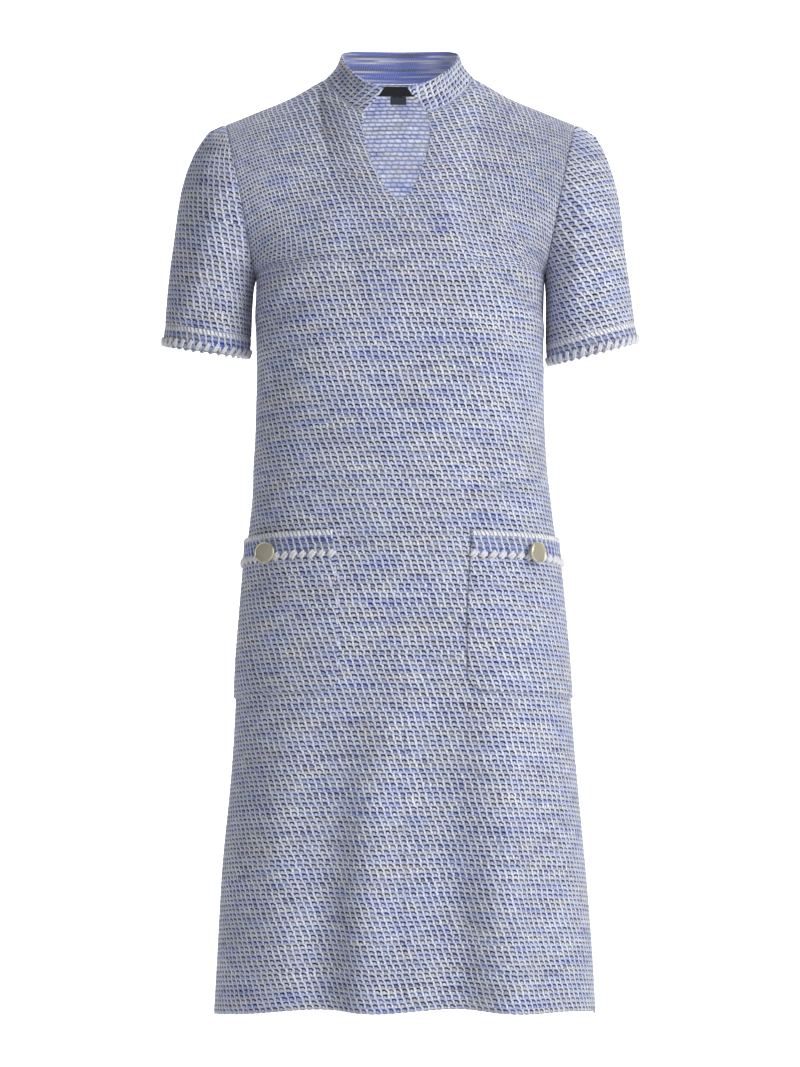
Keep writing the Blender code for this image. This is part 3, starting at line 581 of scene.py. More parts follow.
def new_material(name):
    m = bpy.data.materials.new(name)
    m.use_nodes = True
    V.tree = m.node_tree
    return m, m.node_tree.nodes["Principled BSDF"]


def uv_values():
    n = V.tree.nodes.new("ShaderNodeUVMap")
    n.uv_map = "flat"
    s = V.tree.nodes.new("ShaderNodeSeparateXYZ")
    V.tree.links.new(n.outputs[0], s.inputs[0])
    return V(s.outputs[0]), V(s.outputs[1])


def finish_cloth(shader, colour, height, distance, rough=0.9, sheen=0.25):
    V.tree.links.new(colour.s, shader.inputs["Base Color"])
    if isinstance(rough, V):
        V.tree.links.new(rough.s, shader.inputs["Roughness"])
    else:
        shader.inputs["Roughness"].default_value = rough
    shader.inputs["Specular IOR Level"].default_value = 0.25
    shader.inputs["Sheen Weight"].default_value = sheen
    shader.inputs["Sheen Roughness"].default_value = 0.5
    bump = V.tree.nodes.new("ShaderNodeBump")
    bump.inputs["Strength"].default_value = 1.0
    bump.inputs["Distance"].default_value = distance
    V.tree.links.new(height.s, bump.inputs["Height"])
    V.tree.links.new(bump.outputs[0], shader.inputs["Normal"])


SPACE_DYE = [(0.00, (62, 88, 168)), (0.18, (86, 112, 190)), (0.32, (132, 151, 206)), (0.44, (164, 177, 212)),
             (0.56, (150, 158, 176)), (0.68, (178, 176, 178)), (0.78, (116, 124, 164)), (0.88, (70, 80, 132)),
             (1.00, (58, 64, 104))]
# dark yarn colours; in the stitch arches they also serve as painted shade in the gaps
DARK_DYE_AND_SHADE = [(0.00, (22, 32, 100)), (0.25, (34, 46, 122)), (0.45, (52, 60, 110)), (0.62, (62, 64, 84)),
            (0.80, (34, 38, 66)), (1.00, (16, 20, 44))]


def dyed(u, j, seed, long=0.075):
    """A yarn's colour number along one row: it changes slowly along the row, at random between rows."""
    base = white(vec(j, seed, 0.37))
    slow = noise(vec(u * (1.0 / long) + base * 57.0, j * 3.73 + seed, seed), 1.0, 2.0, 0.6)
    return (slow - 0.5) * 2.1 + 0.5


def stitch_cell(u, v, seed):
    """Where a point lies in its stitch: (fx, fy, column number, row number, random value of the cell)."""
    wob = (noise(vec(u * 150.0, v * 150.0, seed), 1.0, 2.0) - 0.5) * 0.0022
    row = (v + wob) / H
    j = row.floor()
    fy = row - j
    wob2 = (noise(vec(u * 160.0, v * 190.0, seed + 9.0), 1.0, 2.0) - 0.5) * 0.0034
    shove = (white(vec(j, seed + 4.0, 0.7)) - 0.5) * 0.22
    c = (u + wob2) / W + row * LEAN + shove
    ci = c.floor()
    fx = c - ci
    return fx, fy, ci, j, white(vec(ci, j, seed + 2.0))


def tweed(name, dim=1.0, seed=0.0, inside=False):
    m, shader = new_material(name)
    u, v = uv_values()
    fx, fy, ci, j, cell = stitch_cell(u, v, seed)
    cell2 = white(vec(ci, j, seed + 6.0))
    fuzz = noise(vec(u * 1300.0, v * 1300.0, seed), 1.0, 3.0, 0.7)
    mottle = noise(vec(u * 380.0, v * 480.0, seed + 5.0), 1.0, 2.0, 0.6)
    cloud = noise(vec(u * 9.0, v * 22.0, seed + 7.0), 1.0, 3.0, 0.6)
    body = ramp(dyed(u, j, seed + 11.0).clamp(), SPACE_DYE)
    dark = ramp(dyed(u, j, seed + 31.0, 0.05).clamp(), DARK_DYE_AND_SHADE)
    pale_t = noise(vec(u * 30.0, j * 1.7, seed + 3.0), 1.0, 2.0)
    pale = mix(pale_t.step(0.3, 0.7), (247, 249, 255), (214, 219, 248))
    if not inside:
        # the pale yarn that climbs from row to row, bowed to one side and pinched at each row
        bow = (fy * math.pi).sin() * 0.16
        dist = (((fx + 0.5 - bow).fract() - 0.5).abs())
        climb = dist.step(0.24, 0.09) * (fy - 0.5).abs().step(0.54, 0.30, 0.35, 1.0)
        # the pale bar between the rows
        bar = (fy - 0.5).abs().step(0.34, 0.48)
        bar = bar * (0.30 + cell2 * 0.75)
        # the dark arch over each stitch: dark navy yarn, and painted shade in the sunken gap under the loop above
        ax, ay = (fx - 0.58) / 0.40, (fy - 0.30) / 0.50
        r = (ax * ax + ay * ay).sqrt()
        arch = (r - 0.84).abs().step(0.46, 0.16) * ay.step(-0.25, 0.30)
        arch = (arch * (0.62 + cell * 0.70)).clamp()
        hole = r.step(0.85, 0.30)
        colour = mix((hole * (0.25 + cell2 * 0.5)).clamp(), body, pale)
        colour = mix(arch, colour, dark)
        colour = mix((climb * (0.62 + mottle * 0.55)).clamp(), colour, pale)
        colour = mix((bar * (0.42 + mottle * 0.78)).clamp(), colour, pale)
        height = climb * 0.60 + bar * 0.40 + hole * 0.35 - arch * 0.60 + fuzz * 0.40
        distance = 0.0012
    else:
        # the back of the knit: short level bars, half a stitch apart from row to row
        cc = fx + j * 0.5
        fx2 = cc.fract()
        bar = ((fx2 - 0.5).abs().step(0.66, 0.22)) * ((fy - 0.5).abs().step(0.50, 0.14))
        colour = mix((bar * (0.70 + cell * 0.45)).clamp(), mix(0.62, dark, body), mix(0.80, body, pale))
        height = bar * 0.8 + fuzz * 0.3
        distance = 0.0010
    # dim scales the whole colour; above 1 it is painted light
    shade = fuzz.step(0.25, 0.75, 0.66, 1.26) * (0.90 + mottle * 0.16) * cloud.step(0.25, 0.75, 0.93, 1.06) * dim
    colour = scale_colour(colour, shade)
    finish_cloth(shader, colour, height, distance)
    return m


def band_knit(name, seed, tall, pale_top, pale_low):
    """The contrast band: a pale row along its top, blue rows under it. v runs up from its lower edge."""
    m, shader = new_material(name)
    u, v = uv_values()
    wob = (noise(vec(u * 80.0, v * 80.0, seed), 1.0, 2.0) - 0.5) * 0.0012
    fx, fy, ci, j, cell = stitch_cell(u, v, seed)
    fuzz = noise(vec(u * 1500.0, v * 1500.0, seed), 1.0, 3.0, 0.65)
    mottle = noise(vec(u * 420.0, v * 520.0, seed + 5.0), 1.0, 2.0, 0.6)
    body = ramp(dyed(u, j, seed + 11.0).clamp(), SPACE_DYE)
    dark = ramp(dyed(u, j, seed + 31.0, 0.05).clamp(), DARK_DYE_AND_SHADE)
    bow = (fy * math.pi).sin() * 0.10
    climb = (((fx + 0.5 - bow).fract() - 0.5).abs()).step(0.20, 0.08)
    ax, ay = (fx - 0.56) / 0.36, (fy - 0.36) / 0.44
    r = (ax * ax + ay * ay).sqrt()
    # dark arch over each stitch: dark yarn, and painted shade in the sunken gap under the loop above
    arch = (r - 0.92).abs().step(0.42, 0.12) * ay.step(-0.10, 0.35) * (0.6 + cell * 0.6)
    pale = mix(mottle, (236, 237, 248), (204, 208, 234))
    colour = mix(arch.clamp(), mix(0.25, body, (112, 126, 186)), dark)
    colour = mix((climb * (0.70 + mottle * 0.35)).clamp(), colour, pale)
    height = climb * 0.55 - arch * 0.5 + fuzz * 0.35
    # pale row: small leaning loops of ivory yarn
    top = (v + wob * 1.6).__sub__(tall - pale_top).step(-0.0008, 0.0006)
    lx = ((u + (v - tall) * 0.45) / 0.0045).fract()
    loop = (lx - 0.5).abs().step(0.50, 0.22)
    ivory = mix((loop * (0.60 + mottle * 0.65)).clamp(), (150, 156, 190), (252, 252, 252))
    colour = mix(top, colour, ivory)
    height = height + top * (loop * 0.9)
    if pale_low:
        low = (v + wob * 1.6).step(pale_low + 0.0006, pale_low - 0.0008)
        colour = mix(low, colour, mix((loop * (0.6 + mottle * 0.3)).clamp(), (138, 146, 186), (222, 224, 238)))
        height = height + low * (loop * 0.7)
    shade = fuzz.step(0.25, 0.75, 0.82, 1.14)
    finish_cloth(shader, scale_colour(colour, shade), height, 0.0011)
    return m


def collar_inside(name):
    """The ribbed inner side of the stand collar: level stripes of the dyed yarn."""
    m, shader = new_material(name)
    u, v = uv_values()
    wob = (noise(vec(u * 12.0, v * 30.0, 3.0), 1.0, 2.0) - 0.5) * 0.0012
    row = (v + wob) / 0.0023
    j = row.floor()
    fy = row - j
    tone = (white(vec(j, 3.0, 0.2)) - 0.5) * 0.9 + dyed(u, j, 5.0, 0.14)
    colour = ramp(tone.clamp(), [(0.0, (26, 44, 128)), (0.22, (50, 82, 178)), (0.40, (78, 102, 190)),
                                 (0.55, (150, 158, 196)), (0.70, (190, 192, 204)), (0.84, (92, 100, 150)), (1.0, (36, 44, 88))])
    groove = (fy - 0.5).abs().step(0.36, 0.50)
    fuzz = noise(vec(u * 900.0, v * 1800.0, 1.0), 1.0, 3.0, 0.65)
    lean = ((u + v * 0.3) / 0.0022).fract()
    rib = (lean - 0.5).abs().step(0.5, 0.2)
    colour = mix(groove * 0.75, colour, (36, 44, 88))
    colour = mix((rib * fuzz * 0.55).clamp(), colour, (206, 210, 232))
    height = (1.0 - groove) * 0.7 + rib * 0.3 + fuzz * 0.2
    finish_cloth(shader, scale_colour(colour, fuzz.step(0.25, 0.75, 0.62, 1.26)), height, 0.0007)
    return m


def yarn(name, light, dark, seed=0.0, twist=0.0016):
    m, shader = new_material(name)
    u, v = uv_values()
    ply = ((u + v * 0.6) / twist).fract()
    groove = (ply - 0.5).abs().step(0.30, 0.50)
    fuzz = noise(vec(u * 1600.0, v * 1600.0, seed), 1.0, 3.0, 0.65)
    # the grooves between the plies are painted darker: painted shade
    colour = mix((groove * 0.55).clamp(), mix(fuzz, light, tuple(0.86 * x for x in light)), dark)
    finish_cloth(shader, colour, fuzz * 0.4 - groove * 0.6, 0.0006)
    return m


def label_material(name, colour, edge):
    m, shader = new_material(name)
    u, v = uv_values()
    weave = ((u / 0.0007).fract() - 0.5).abs() + ((v / 0.0005).fract() - 0.5).abs()
    fuzz = noise(vec(u * 1200.0, v * 1200.0, 2.0), 1.0, 2.0)
    col = mix((weave * 0.5 + fuzz * 0.2).clamp(), colour, edge)
    finish_cloth(shader, col, weave * 0.5 + fuzz * 0.2, 0.0002, 0.6, 0.1)
    return m


# ---------------------------------------------------------------- cloth grids
def rows_of(z):
    return (z - Z_HEM) / (Z_UNDERARM - Z_HEM)


FINE = 0.0042
N_LOW = int(0.785 / FINE)
N_UP = int(0.26 / FINE)
N_SIDE = int(0.30 / FINE)
low_rows = np.linspace(0, 1, N_LOW + 1)
up_t = 1 - (1 - np.linspace(0, 1, N_UP + 1)) ** 1.25
all_rows = np.concatenate([low_rows, 1 + up_t[1:]])
q = np.linspace(0, 1, N_SIDE + 1)
columns = q * 0.82 + 0.18 * (1 - (1 - q) ** 1.6)
neck_cut = int(np.argmin(np.abs(columns - NECK_SHARE)))
columns[neck_cut] = NECK_SHARE


def fine_body(side, sgn, u, r):
    """The body's outer surface with its small unevenness added along its own direction."""
    p = body(side, sgn, u, r)
    fade = np.clip((1 - u) / 0.10, 0, 1) * np.clip((2 - r) / 0.18, 0, 1) * np.clip(u / 0.02 + (r < 1.40), 0, 1)
    fade = fade * fade * (3 - 2 * fade)
    z = Z_HEM + np.minimum(r, 1) * (Z_UNDERARM - Z_HEM) + np.clip(r - 1, 0, 1) * 0.17
    x = p[..., 0]
    gy, gx = np.gradient(p, axis=0), np.gradient(p, axis=1)
    n = np.cross(gx, gy) * sgn * (-side)
    n /= np.maximum(np.linalg.norm(n, axis=-1), 1e-9)[..., None]
    p = p + n * (rumple(side, x, z) * fade)[..., None]
    wave = np.cos(2 * np.pi * (x - 0.0514) / 0.149) * np.exp(-r * (Z_UNDERARM - Z_HEM) / 0.05)
    p[..., 2] += 0.0018 * wave * np.clip((1 - u) / 0.06, 0, 1)
    return p


def run_along(p, axis):
    d = np.linalg.norm(np.diff(p, axis=axis), axis=-1)
    pad = [(0, 0), (0, 0)]
    pad[axis] = (1, 0)
    return np.pad(np.cumsum(d, axis=axis), pad)


cloth = Cloth()
body_grid = {}
R, C = all_rows[:, None] + 0 * columns, columns[None, :] + 0 * all_rows[:, None]
for sgn in (-1, 1):
    for side, name in ((-1, "front"), (1, "back")):
        p = fine_body(side, sgn, C, R)
        across = run_along(p, 1)
        # the cloth's own level: straight rows below the underarm, up along the middle above it
        k = N_LOW
        ref = across[k]
        up = run_along(p, 0)
        level = np.where(R <= 1, Z_HEM + np.minimum(R, 1) * (Z_UNDERARM - Z_HEM),
                         Z_UNDERARM + (up - up[k]) * 0.6 + 0.4 * (up[:, neck_cut:neck_cut + 1] - up[k, neck_cut]))
        shift = np.abs(p[..., 0] - SECTIONS["shift"][-1]) if False else across
        upper = np.abs(p[..., 0] + 0.002)
        upper = upper + (ref - upper[k])[None, :] * 1.0
        w = np.clip((R - 1) / 0.25, 0, 1)
        w = w * w * (3 - 2 * w)
        uu = across * (1 - w) + upper * w
        uv = np.stack([sgn * uu, level], -1)
        body_grid[side, sgn] = (p, uv)
        cloth.grid(name, p, uv, flip=(side * sgn > 0))

sleeve_t = np.concatenate([[0], up_t[1:]])
ring_t = np.concatenate([sleeve_t, sleeve_t[-2:0:-1]])
ring_side = np.repeat([-1, 1], [len(sleeve_t), len(sleeve_t) - 2])


def sleeve_rings(sgn, k):
    k = np.asarray(k)
    return sleeve(sgn, ring_t[None, :], ring_side[None, :], k if k.ndim == 2 else k[:, None])


def sleeve_rumple(sgn, p, k):
    """Drags at the underarm and soft bends of the sleeve, none at its two ends."""
    i = 0 if sgn < 0 else 1
    cx = sgn * 0.205
    around = np.arctan2(p[..., 1], sgn * (p[..., 0] - cx))
    fade = np.clip(k / 0.16, 0, 1) * np.clip((1 - k) / 0.10, 0, 1)
    z = p[..., 2]
    out = 0.0016 * np.exp(-((around + 2.2 + 9 * (z + 0.20)) / 0.35) ** 2)
    out = out - 0.0022 * np.exp(-((around + 1.7 + 8 * (z + 0.19)) / 0.30) ** 2)
    out = out + 0.0014 * np.exp(-((around - 2.1 - 8 * (z + 0.20)) / 0.32) ** 2)
    out = out - 0.0018 * np.exp(-((around - 1.6 - 8 * (z + 0.20)) / 0.30) ** 2)
    out = out + 0.0010 * np.sin(3 * around + 22 * z + i) * np.cos(31 * z + 2 * around)
    return out * fade * fade * (3 - 2 * fade)


def sleeve_grain(sgn, p):
    """Pattern coordinates of the sleeve: straight grain, level rows square to its axis."""
    i = 0 if sgn < 0 else 1
    tilt = math.radians(SLEEVES["tilt_deg"][i])
    hw, hd = SLEEVES["half_width"][i], SLEEVES["half_depth"][i]
    c = np.array([SLEEVES[k][i] for k in "xyz"])
    outer = np.array([sgn * math.cos(tilt), 0, math.sin(tilt)])
    down = np.array([sgn * math.sin(tilt), 0, -math.cos(tilt)])
    rel = p - c
    a, b = rel @ outer / hw, rel[..., 1] / hd
    phi = np.arccos(np.clip(a / np.maximum(np.hypot(a, b), 1e-9), -1, 1)) * np.where(ring_side < 0, -1, 1)[None, :]
    last = -phi[:, :1]
    phi = np.concatenate([phi, last], axis=1)
    u = sgn * phi * (hw + hd) / 2
    v = -(rel @ down)
    return u, np.concatenate([v, v[:, :1]], axis=1)


sleeve_info = {}
for sgn, word in ((-1, "right"), (1, "left")):
    ks = np.linspace(0, 1, 201)
    lines = sleeve_rings(sgn, ks)
    left = run_along(lines[::-1], 0)[::-1]
    start = np.array([np.interp(-CUFF_TALL, -left[:, j], ks) for j in range(lines.shape[1])])
    n_sl = max(int(0.20 / FINE), 12)
    steps = np.linspace(0, 1, n_sl + 1)
    kk = steps[:, None] * start[None, :]
    p = sleeve_rings(sgn, kk)
    ring = np.concatenate([p, p[:, :1]], axis=1)
    gy = np.gradient(p, axis=0)
    gx = (np.roll(p, -1, axis=1) - np.roll(p, 1, axis=1))
    n = np.cross(gx, gy) * (-sgn)
    n /= np.maximum(np.linalg.norm(n, axis=-1), 1e-9)[..., None]
    p = p + n * sleeve_rumple(sgn, p, kk)[..., None]
    up = np.array([[np.interp(kk[i, j], ks, left[:, j]) for j in range(kk.shape[1])] for i in range(kk.shape[0])])
    end_ring = sleeve_rings(sgn, np.ones(1))
    girth = run_along(np.concatenate([end_ring, end_ring[:, :1]], axis=1), 1)[0]
    uring = girth[None, :] * np.ones((len(kk), 1))
    # seams at the underarm; measured from the top line so that the pattern meets there evenly
    uring = (uring - girth[len(sleeve_t) - 1])
    uv = np.stack(sleeve_grain(sgn, p), -1)
    cloth.grid(f"sleeve_{word}", p, uv, ring=True, flip=(sgn > 0))
    n_cf = 12
    share = np.linspace(0, 1, n_cf + 1)
    kc = start[None, :] + (1 - start[None, :]) * share[:, None]
    pc = sleeve_rings(sgn, kc)
    upc = np.array([[np.interp(kc[i, j], ks, left[:, j]) for j in range(kc.shape[1])] for i in range(kc.shape[0])])
    uvc = np.stack([sleeve_grain(sgn, pc)[0], np.concatenate([upc, upc[:, :1]], axis=1)], -1)
    cloth.grid(f"cuff_{word}", pc, uvc, ring=True, flip=(sgn > 0))
    sleeve_info[sgn] = (end_ring[0], girth, start, sleeve_rings(sgn, (1 - (1 - start) * 0.02)[None, :])[0])

neck_cols = columns[:neck_cut + 1] / NECK_SHARE
h_rows = np.linspace(0, 1, 10)
for sgn in (-1, 1):
    for part_s in (neck_cols, 2 - neck_cols[::-1]):
        p = collar(sgn, part_s[None, :], h_rows[:, None])
        full = np.linspace(0, 2, 201)
        seam = collar(sgn, full, 0.0 * full)
        far = np.concatenate([[0], np.cumsum(np.linalg.norm(np.diff(seam, axis=0), axis=1))])
        uu = np.interp(part_s, full, far[-1] - far) * sgn
        tall = run_along(p, 0)
        uv = np.stack([uu[None, :] + 0 * tall, tall], -1)
        cloth.grid("collar", p, uv, flip=(sgn < 0))

cloth.weld()

# ---------------------------------------------------------------- materials and the main pieces
tweed_front = tweed("tweed_front", 1.0, 0.0)
tweed_back = tweed("tweed_back", 1.0, 40.0)
tweed_sleeve = {-1: tweed("tweed_sleeve_right", 1.0, 80.0), 1: tweed("tweed_sleeve_left", 1.0, 120.0)}
tweed_pocket = tweed("tweed_pocket", 1.0, 160.0)
tweed_collar = tweed("tweed_collar", 1.0, 200.0)
# the inside cloth is kept pale and raised 6% (dim 1.06) as painted light, so that it looks lit where it lies in shade
# inside the dress
tweed_inside = tweed("tweed_inside", 1.06, 240.0, inside=True)
ribbed = collar_inside("collar_ribbed_inside")
cuff_knit = band_knit("cuff_knit", 300.0, CUFF_TALL, 0.0050, 0.0)
pocket_knit = band_knit("pocket_band_knit", 340.0, BAND_TALL, 0.0062, 0.0)
white_yarn = yarn("white_yarn", (250, 250, 253), (186, 190, 212))
pale_yarn = yarn("pale_yarn", (206, 210, 232), (120, 130, 176), 5.0)
black_label = label_material("black_label", (10, 10, 12), (24, 24, 28))
grey_tab = label_material("charcoal_tab", (44, 46, 54), (62, 64, 72))


def put(obj, slot, *nodes):
    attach(obj, "root")
    if nodes:
        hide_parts(*nodes)
    return obj


front = put(wall(cloth, "front", "dress_front", CLOTH, [tweed_front, tweed_inside]), "tweed_cloth", "front_panel")
back = put(wall(cloth, "back", "dress_back", CLOTH, [tweed_back, tweed_inside]), "tweed_cloth", "back_panel")
sleeves, cuffs = {}, {}
for sgn, word in ((-1, "right"), (1, "left")):
    sleeves[sgn] = put(wall(cloth, f"sleeve_{word}", f"dress_sleeve_{word}", CLOTH, [tweed_sleeve[sgn], tweed_inside]),
                       "tweed_cloth", f"sleeve_{word}")
    cuffs[sgn] = put(wall(cloth, f"cuff_{word}", f"dress_cuff_{word}", BAND_CLOTH, [cuff_knit, tweed_inside]),
                     "band_cloth", f"cuff_band_{word}")
stand = put(wall(cloth, "collar", "dress_collar", COLLAR_CLOTH, [tweed_collar, ribbed]), "tweed_cloth", "collar")


# ---------------------------------------------------------------- pieces on the front
def on_front(sgn, far, z):
    """Points of the front surface at distances along the cloth from the middle, in rows of the
    cloth given by height at the side seam; with directions out of the cloth."""
    us = np.linspace(0, 1, 301)
    rr = np.asarray(z, float)
    far = np.asarray(far, float)
    pts, outs, ends = [], [], []
    eps = 0.0012
    for zz, ff in zip(rr, far):
        r3 = np.array([rows_of(zz) - eps, rows_of(zz), rows_of(zz) + eps])
        g = fine_body(-1, sgn, us[None, :] + 0 * r3[:, None], r3[:, None] + 0 * us[None, :])
        line = g[1]
        run = np.concatenate([[0], np.cumsum(np.linalg.norm(np.diff(line, axis=0), axis=1))])
        across = np.gradient(line, axis=0)
        n = np.cross(across, g[2] - g[0]) * sgn
        n /= np.linalg.norm(n, axis=1)[:, None]
        f = np.where(ff < 0, run[-1] + ff, ff)
        pts.append(np.stack([np.interp(f, run, line[:, c]) for c in range(3)], -1))
        nn = np.stack([np.interp(f, run, n[:, c]) for c in range(3)], -1)
        outs.append(nn / np.linalg.norm(nn, axis=1)[:, None])
        ends.append(run[-1])
    return np.array(pts), np.array(outs), np.array(ends)


def slab(name, pts, outs, uv, under, thick, mats, round_by=0.0008, relief=None):
    """A closed piece from a grid of surface points, its face `under + thick` above them and its
    free edges rounded."""
    r, c = pts.shape[:2]
    edge = np.zeros((r, c))
    edge[0, :] = edge[-1, :] = 1
    edge[:, 0] = edge[:, -1] = 1
    top = pts + outs * (under + thick - round_by * edge + (0 if relief is None else relief))[..., None]
    low = pts + outs * under
    mid = pts + outs * (under + thick * 0.45)
    pull = np.zeros_like(pts)
    pull[0] += pts[1] - pts[0]; pull[-1] += pts[-2] - pts[-1]
    pull[:, 0] += pts[:, 1] - pts[:, 0]; pull[:, -1] += pts[:, -2] - pts[:, -1]
    pull /= np.maximum(np.linalg.norm(pull, axis=-1), 1e-9)[..., None]
    top = top + pull * (round_by * edge)[..., None]
    ids = np.arange(r * c).reshape(r, c)
    q = np.stack([ids[:-1, :-1], ids[:-1, 1:], ids[1:, 1:], ids[1:, :-1]], -1).reshape(-1, 4)
    t = np.stack([uv[:-1, :-1], uv[:-1, 1:], uv[1:, 1:], uv[1:, :-1]], -2).reshape(-1, 4, 2)
    loop = np.concatenate([ids[0], ids[1:, -1], ids[-1, -2::-1], ids[-2:0:-1, 0]])
    nxt = np.roll(loop, -1)
    fu = uv.reshape(-1, 2)
    lid = np.arange(len(loop)) + 2 * r * c
    nid = np.roll(lid, -1)
    r1 = np.stack([nxt, loop, lid, nid], 1)
    r2 = np.stack([nid, lid, loop + r * c, nxt + r * c], 1)
    ru = np.stack([fu[nxt], fu[loop], fu[loop], fu[nxt]], 1)
    quads = np.concatenate([q, q[:, ::-1] + r * c, r1, r2])
    uvs = np.concatenate([t, t[:, ::-1], ru, ru])
    verts = np.concatenate([top.reshape(-1, 3), low.reshape(-1, 3), mid.reshape(-1, 3)[loop]])
    # faces must look out of the cloth
    a = top[r // 2, c // 2 + 1] - top[r // 2, c // 2]
    b = top[r // 2 + 1, c // 2] - top[r // 2, c // 2]
    if np.dot(np.cross(a, b), outs[r // 2, c // 2]) < 0:
        quads, uvs = quads[:, ::-1], uvs[:, ::-1]
    return make_mesh(name, verts, quads, uvs, mats)


pocket_edge_far = {}


def inner_edge(sgn, z):
    """Distance along the cloth from the middle to the pocket's inner edge in that row."""
    x = read(POCKET_EDGE, "z", "x", z)
    us = np.linspace(0, 1, 201)
    far = []
    for zz, xx in zip(np.atleast_1d(z), np.atleast_1d(x)):
        line = body(-1, sgn, us, rows_of(zz) + 0 * us)
        run = np.concatenate([[0], np.cumsum(np.linalg.norm(np.diff(line, axis=0), axis=1))])
        far.append(np.interp(xx, np.abs(line[:, 0] - line[0, 0]), run))
    return np.array(far)


POCKET_GRID = 0.0022
UNDER = 0.0007
pocket_objects, band_objects = {}, {}
for sgn, word in ((-1, "right"), (1, "left")):
    seam = POCKET_TOP - BAND_TALL
    for part_name, z0, z1, mats, thick, sl in (("pocket", POCKET_BOTTOM, seam - 0.0002, [tweed_pocket], 0.0019, "tweed_cloth"),
                                               ("pocket_band", seam + 0.0002, POCKET_TOP, [pocket_knit], 0.0024, "band_cloth")):
        nr = max(int((z1 - z0) / POCKET_GRID), 6)
        zs = np.linspace(z0, z1, nr + 1)
        edge_far = inner_edge(sgn, zs)
        up = np.maximum(zs - POCKET_BOTTOM, 0)
        cut = POCKET_CORNER - np.sqrt(np.maximum(POCKET_CORNER ** 2 - np.maximum(POCKET_CORNER - up, 0) ** 2, 0))
        ends = on_front(sgn, np.full((len(zs), 1), 0.1), zs)[2]
        share = np.linspace(0, 1, int(0.165 / POCKET_GRID) + 1)
        far = (edge_far + cut)[:, None] + ((ends - 0.0014) - (edge_far + cut))[:, None] * share[None, :]
        pts, outs, _ = on_front(sgn, far, zs)
        uv = np.stack([sgn * far, (zs[:, None] - z0) + 0 * far], -1)
        if part_name == "pocket":
            uv[..., 1] += 0.0021
            # the pouch stands off a little in its middle and is pinched at its seams
            puff = np.sin(np.pi * np.clip((far - edge_far[:, None]) / (ends - edge_far)[:, None], 0, 1)) \
                * np.sin(np.pi * np.clip((zs - z0) / (z1 - z0), 0, 1))[:, None]
            d_in = np.minimum(far - edge_far[:, None], (zs - z0)[:, None] + 0 * far)
            relief = 0.0016 * puff - 0.0006 * np.exp(-((d_in - 0.0045) / 0.0016) ** 2)
        else:
            lift = np.sin(np.pi * share)[None, :] * np.clip((zs - z0) / (z1 - z0), 0, 1)[:, None]
            ramp_top = np.clip(((zs - z1) + 0.0066) / 0.0012, 0, 1)[:, None] + 0 * far
            relief = 0.0007 * ramp_top + 0.0009 * lift \
                + 0.0004 * ramp_top * np.sin(2 * np.pi * far / 0.0045)
        o = slab(f"dress_{part_name}_{word}", pts, outs, uv, UNDER, thick, mats, relief=relief)
        put(o, sl, f"{part_name}_{word}")
        (pocket_objects if part_name == "pocket" else band_objects)[sgn] = o


# ---------------------------------------------------------------- yarn stitches as round strands
def strand(path, radius, sides=8, taper=0.55):
    """Vertices, quads and uvs of one round strand along a path, tapering at both ends."""
    path = np.asarray(path, float)
    k = len(path)
    tangent = np.gradient(path, axis=0)
    tangent /= np.maximum(np.linalg.norm(tangent, axis=1), 1e-9)[:, None]
    ref = np.array([0.13, 0.97, 0.21])
    a = np.cross(tangent, ref)
    a /= np.maximum(np.linalg.norm(a, axis=1), 1e-9)[:, None]
    b = np.cross(tangent, a)
    t = np.linspace(0, 1, k)
    rad = radius * np.clip(taper + (1 - taper) * np.sin(np.pi * t) ** 0.5, 0, 1)
    rad[0] = rad[-1] = radius * 0.25
    turn = np.linspace(0, 2 * np.pi, sides, endpoint=False)
    ring = (a[:, None] * np.cos(turn)[None, :, None] + b[:, None] * np.sin(turn)[None, :, None]) * rad[:, None, None]
    verts = (path[:, None] + ring).reshape(-1, 3)
    ids = np.arange(k * sides).reshape(k, sides)
    nxt = np.roll(ids, -1, axis=1)
    quads = np.stack([ids[:-1], ids[1:], nxt[1:], nxt[:-1]], -1).reshape(-1, 4)
    run = np.concatenate([[0], np.cumsum(np.linalg.norm(np.diff(path, axis=0), axis=1))])
    uu = run[:, None] + 0 * turn
    vv = (turn / (2 * np.pi))[None, :] * radius * 6 + 0 * uu
    v2 = vv + radius * 6 / sides
    uv = np.stack([np.stack([uu[:-1], vv[:-1]], -1), np.stack([uu[1:], vv[1:]], -1),
                   np.stack([uu[1:], v2[1:]], -1), np.stack([uu[:-1], v2[:-1]], -1)], -2).reshape(-1, 4, 2)
    tri0 = [[ids[0, s], ids[0, (s + 1) % sides], ids[0, (s + 2) % sides], ids[0, 0]] for s in range(0)]
    caps = [list(ids[0][:4]), [ids[0][0], ids[0][3], ids[0][4], ids[0][5]], [ids[0][0], ids[0][5], ids[0][6], ids[0][7]],
            list(ids[-1][:4][::-1]), [ids[-1][5], ids[-1][4], ids[-1][3], ids[-1][0]], [ids[-1][7], ids[-1][6], ids[-1][5], ids[-1][0]]]
    quads = np.concatenate([quads, np.array(caps)])
    uv = np.concatenate([uv, np.zeros((6, 4, 2))])
    return verts, quads, uv


def strands(name, paths, radii, mat):
    vs, qs, us, base = [], [], [], 0
    for path, rad in zip(paths, radii):
        v, q4, uv = strand(path, rad)
        vs.append(v); qs.append(q4 + base); us.append(uv)
        base += len(v)
    return make_mesh(name, np.concatenate(vs), np.concatenate(qs), np.concatenate(us), [mat])


rng = np.random.default_rng(7)
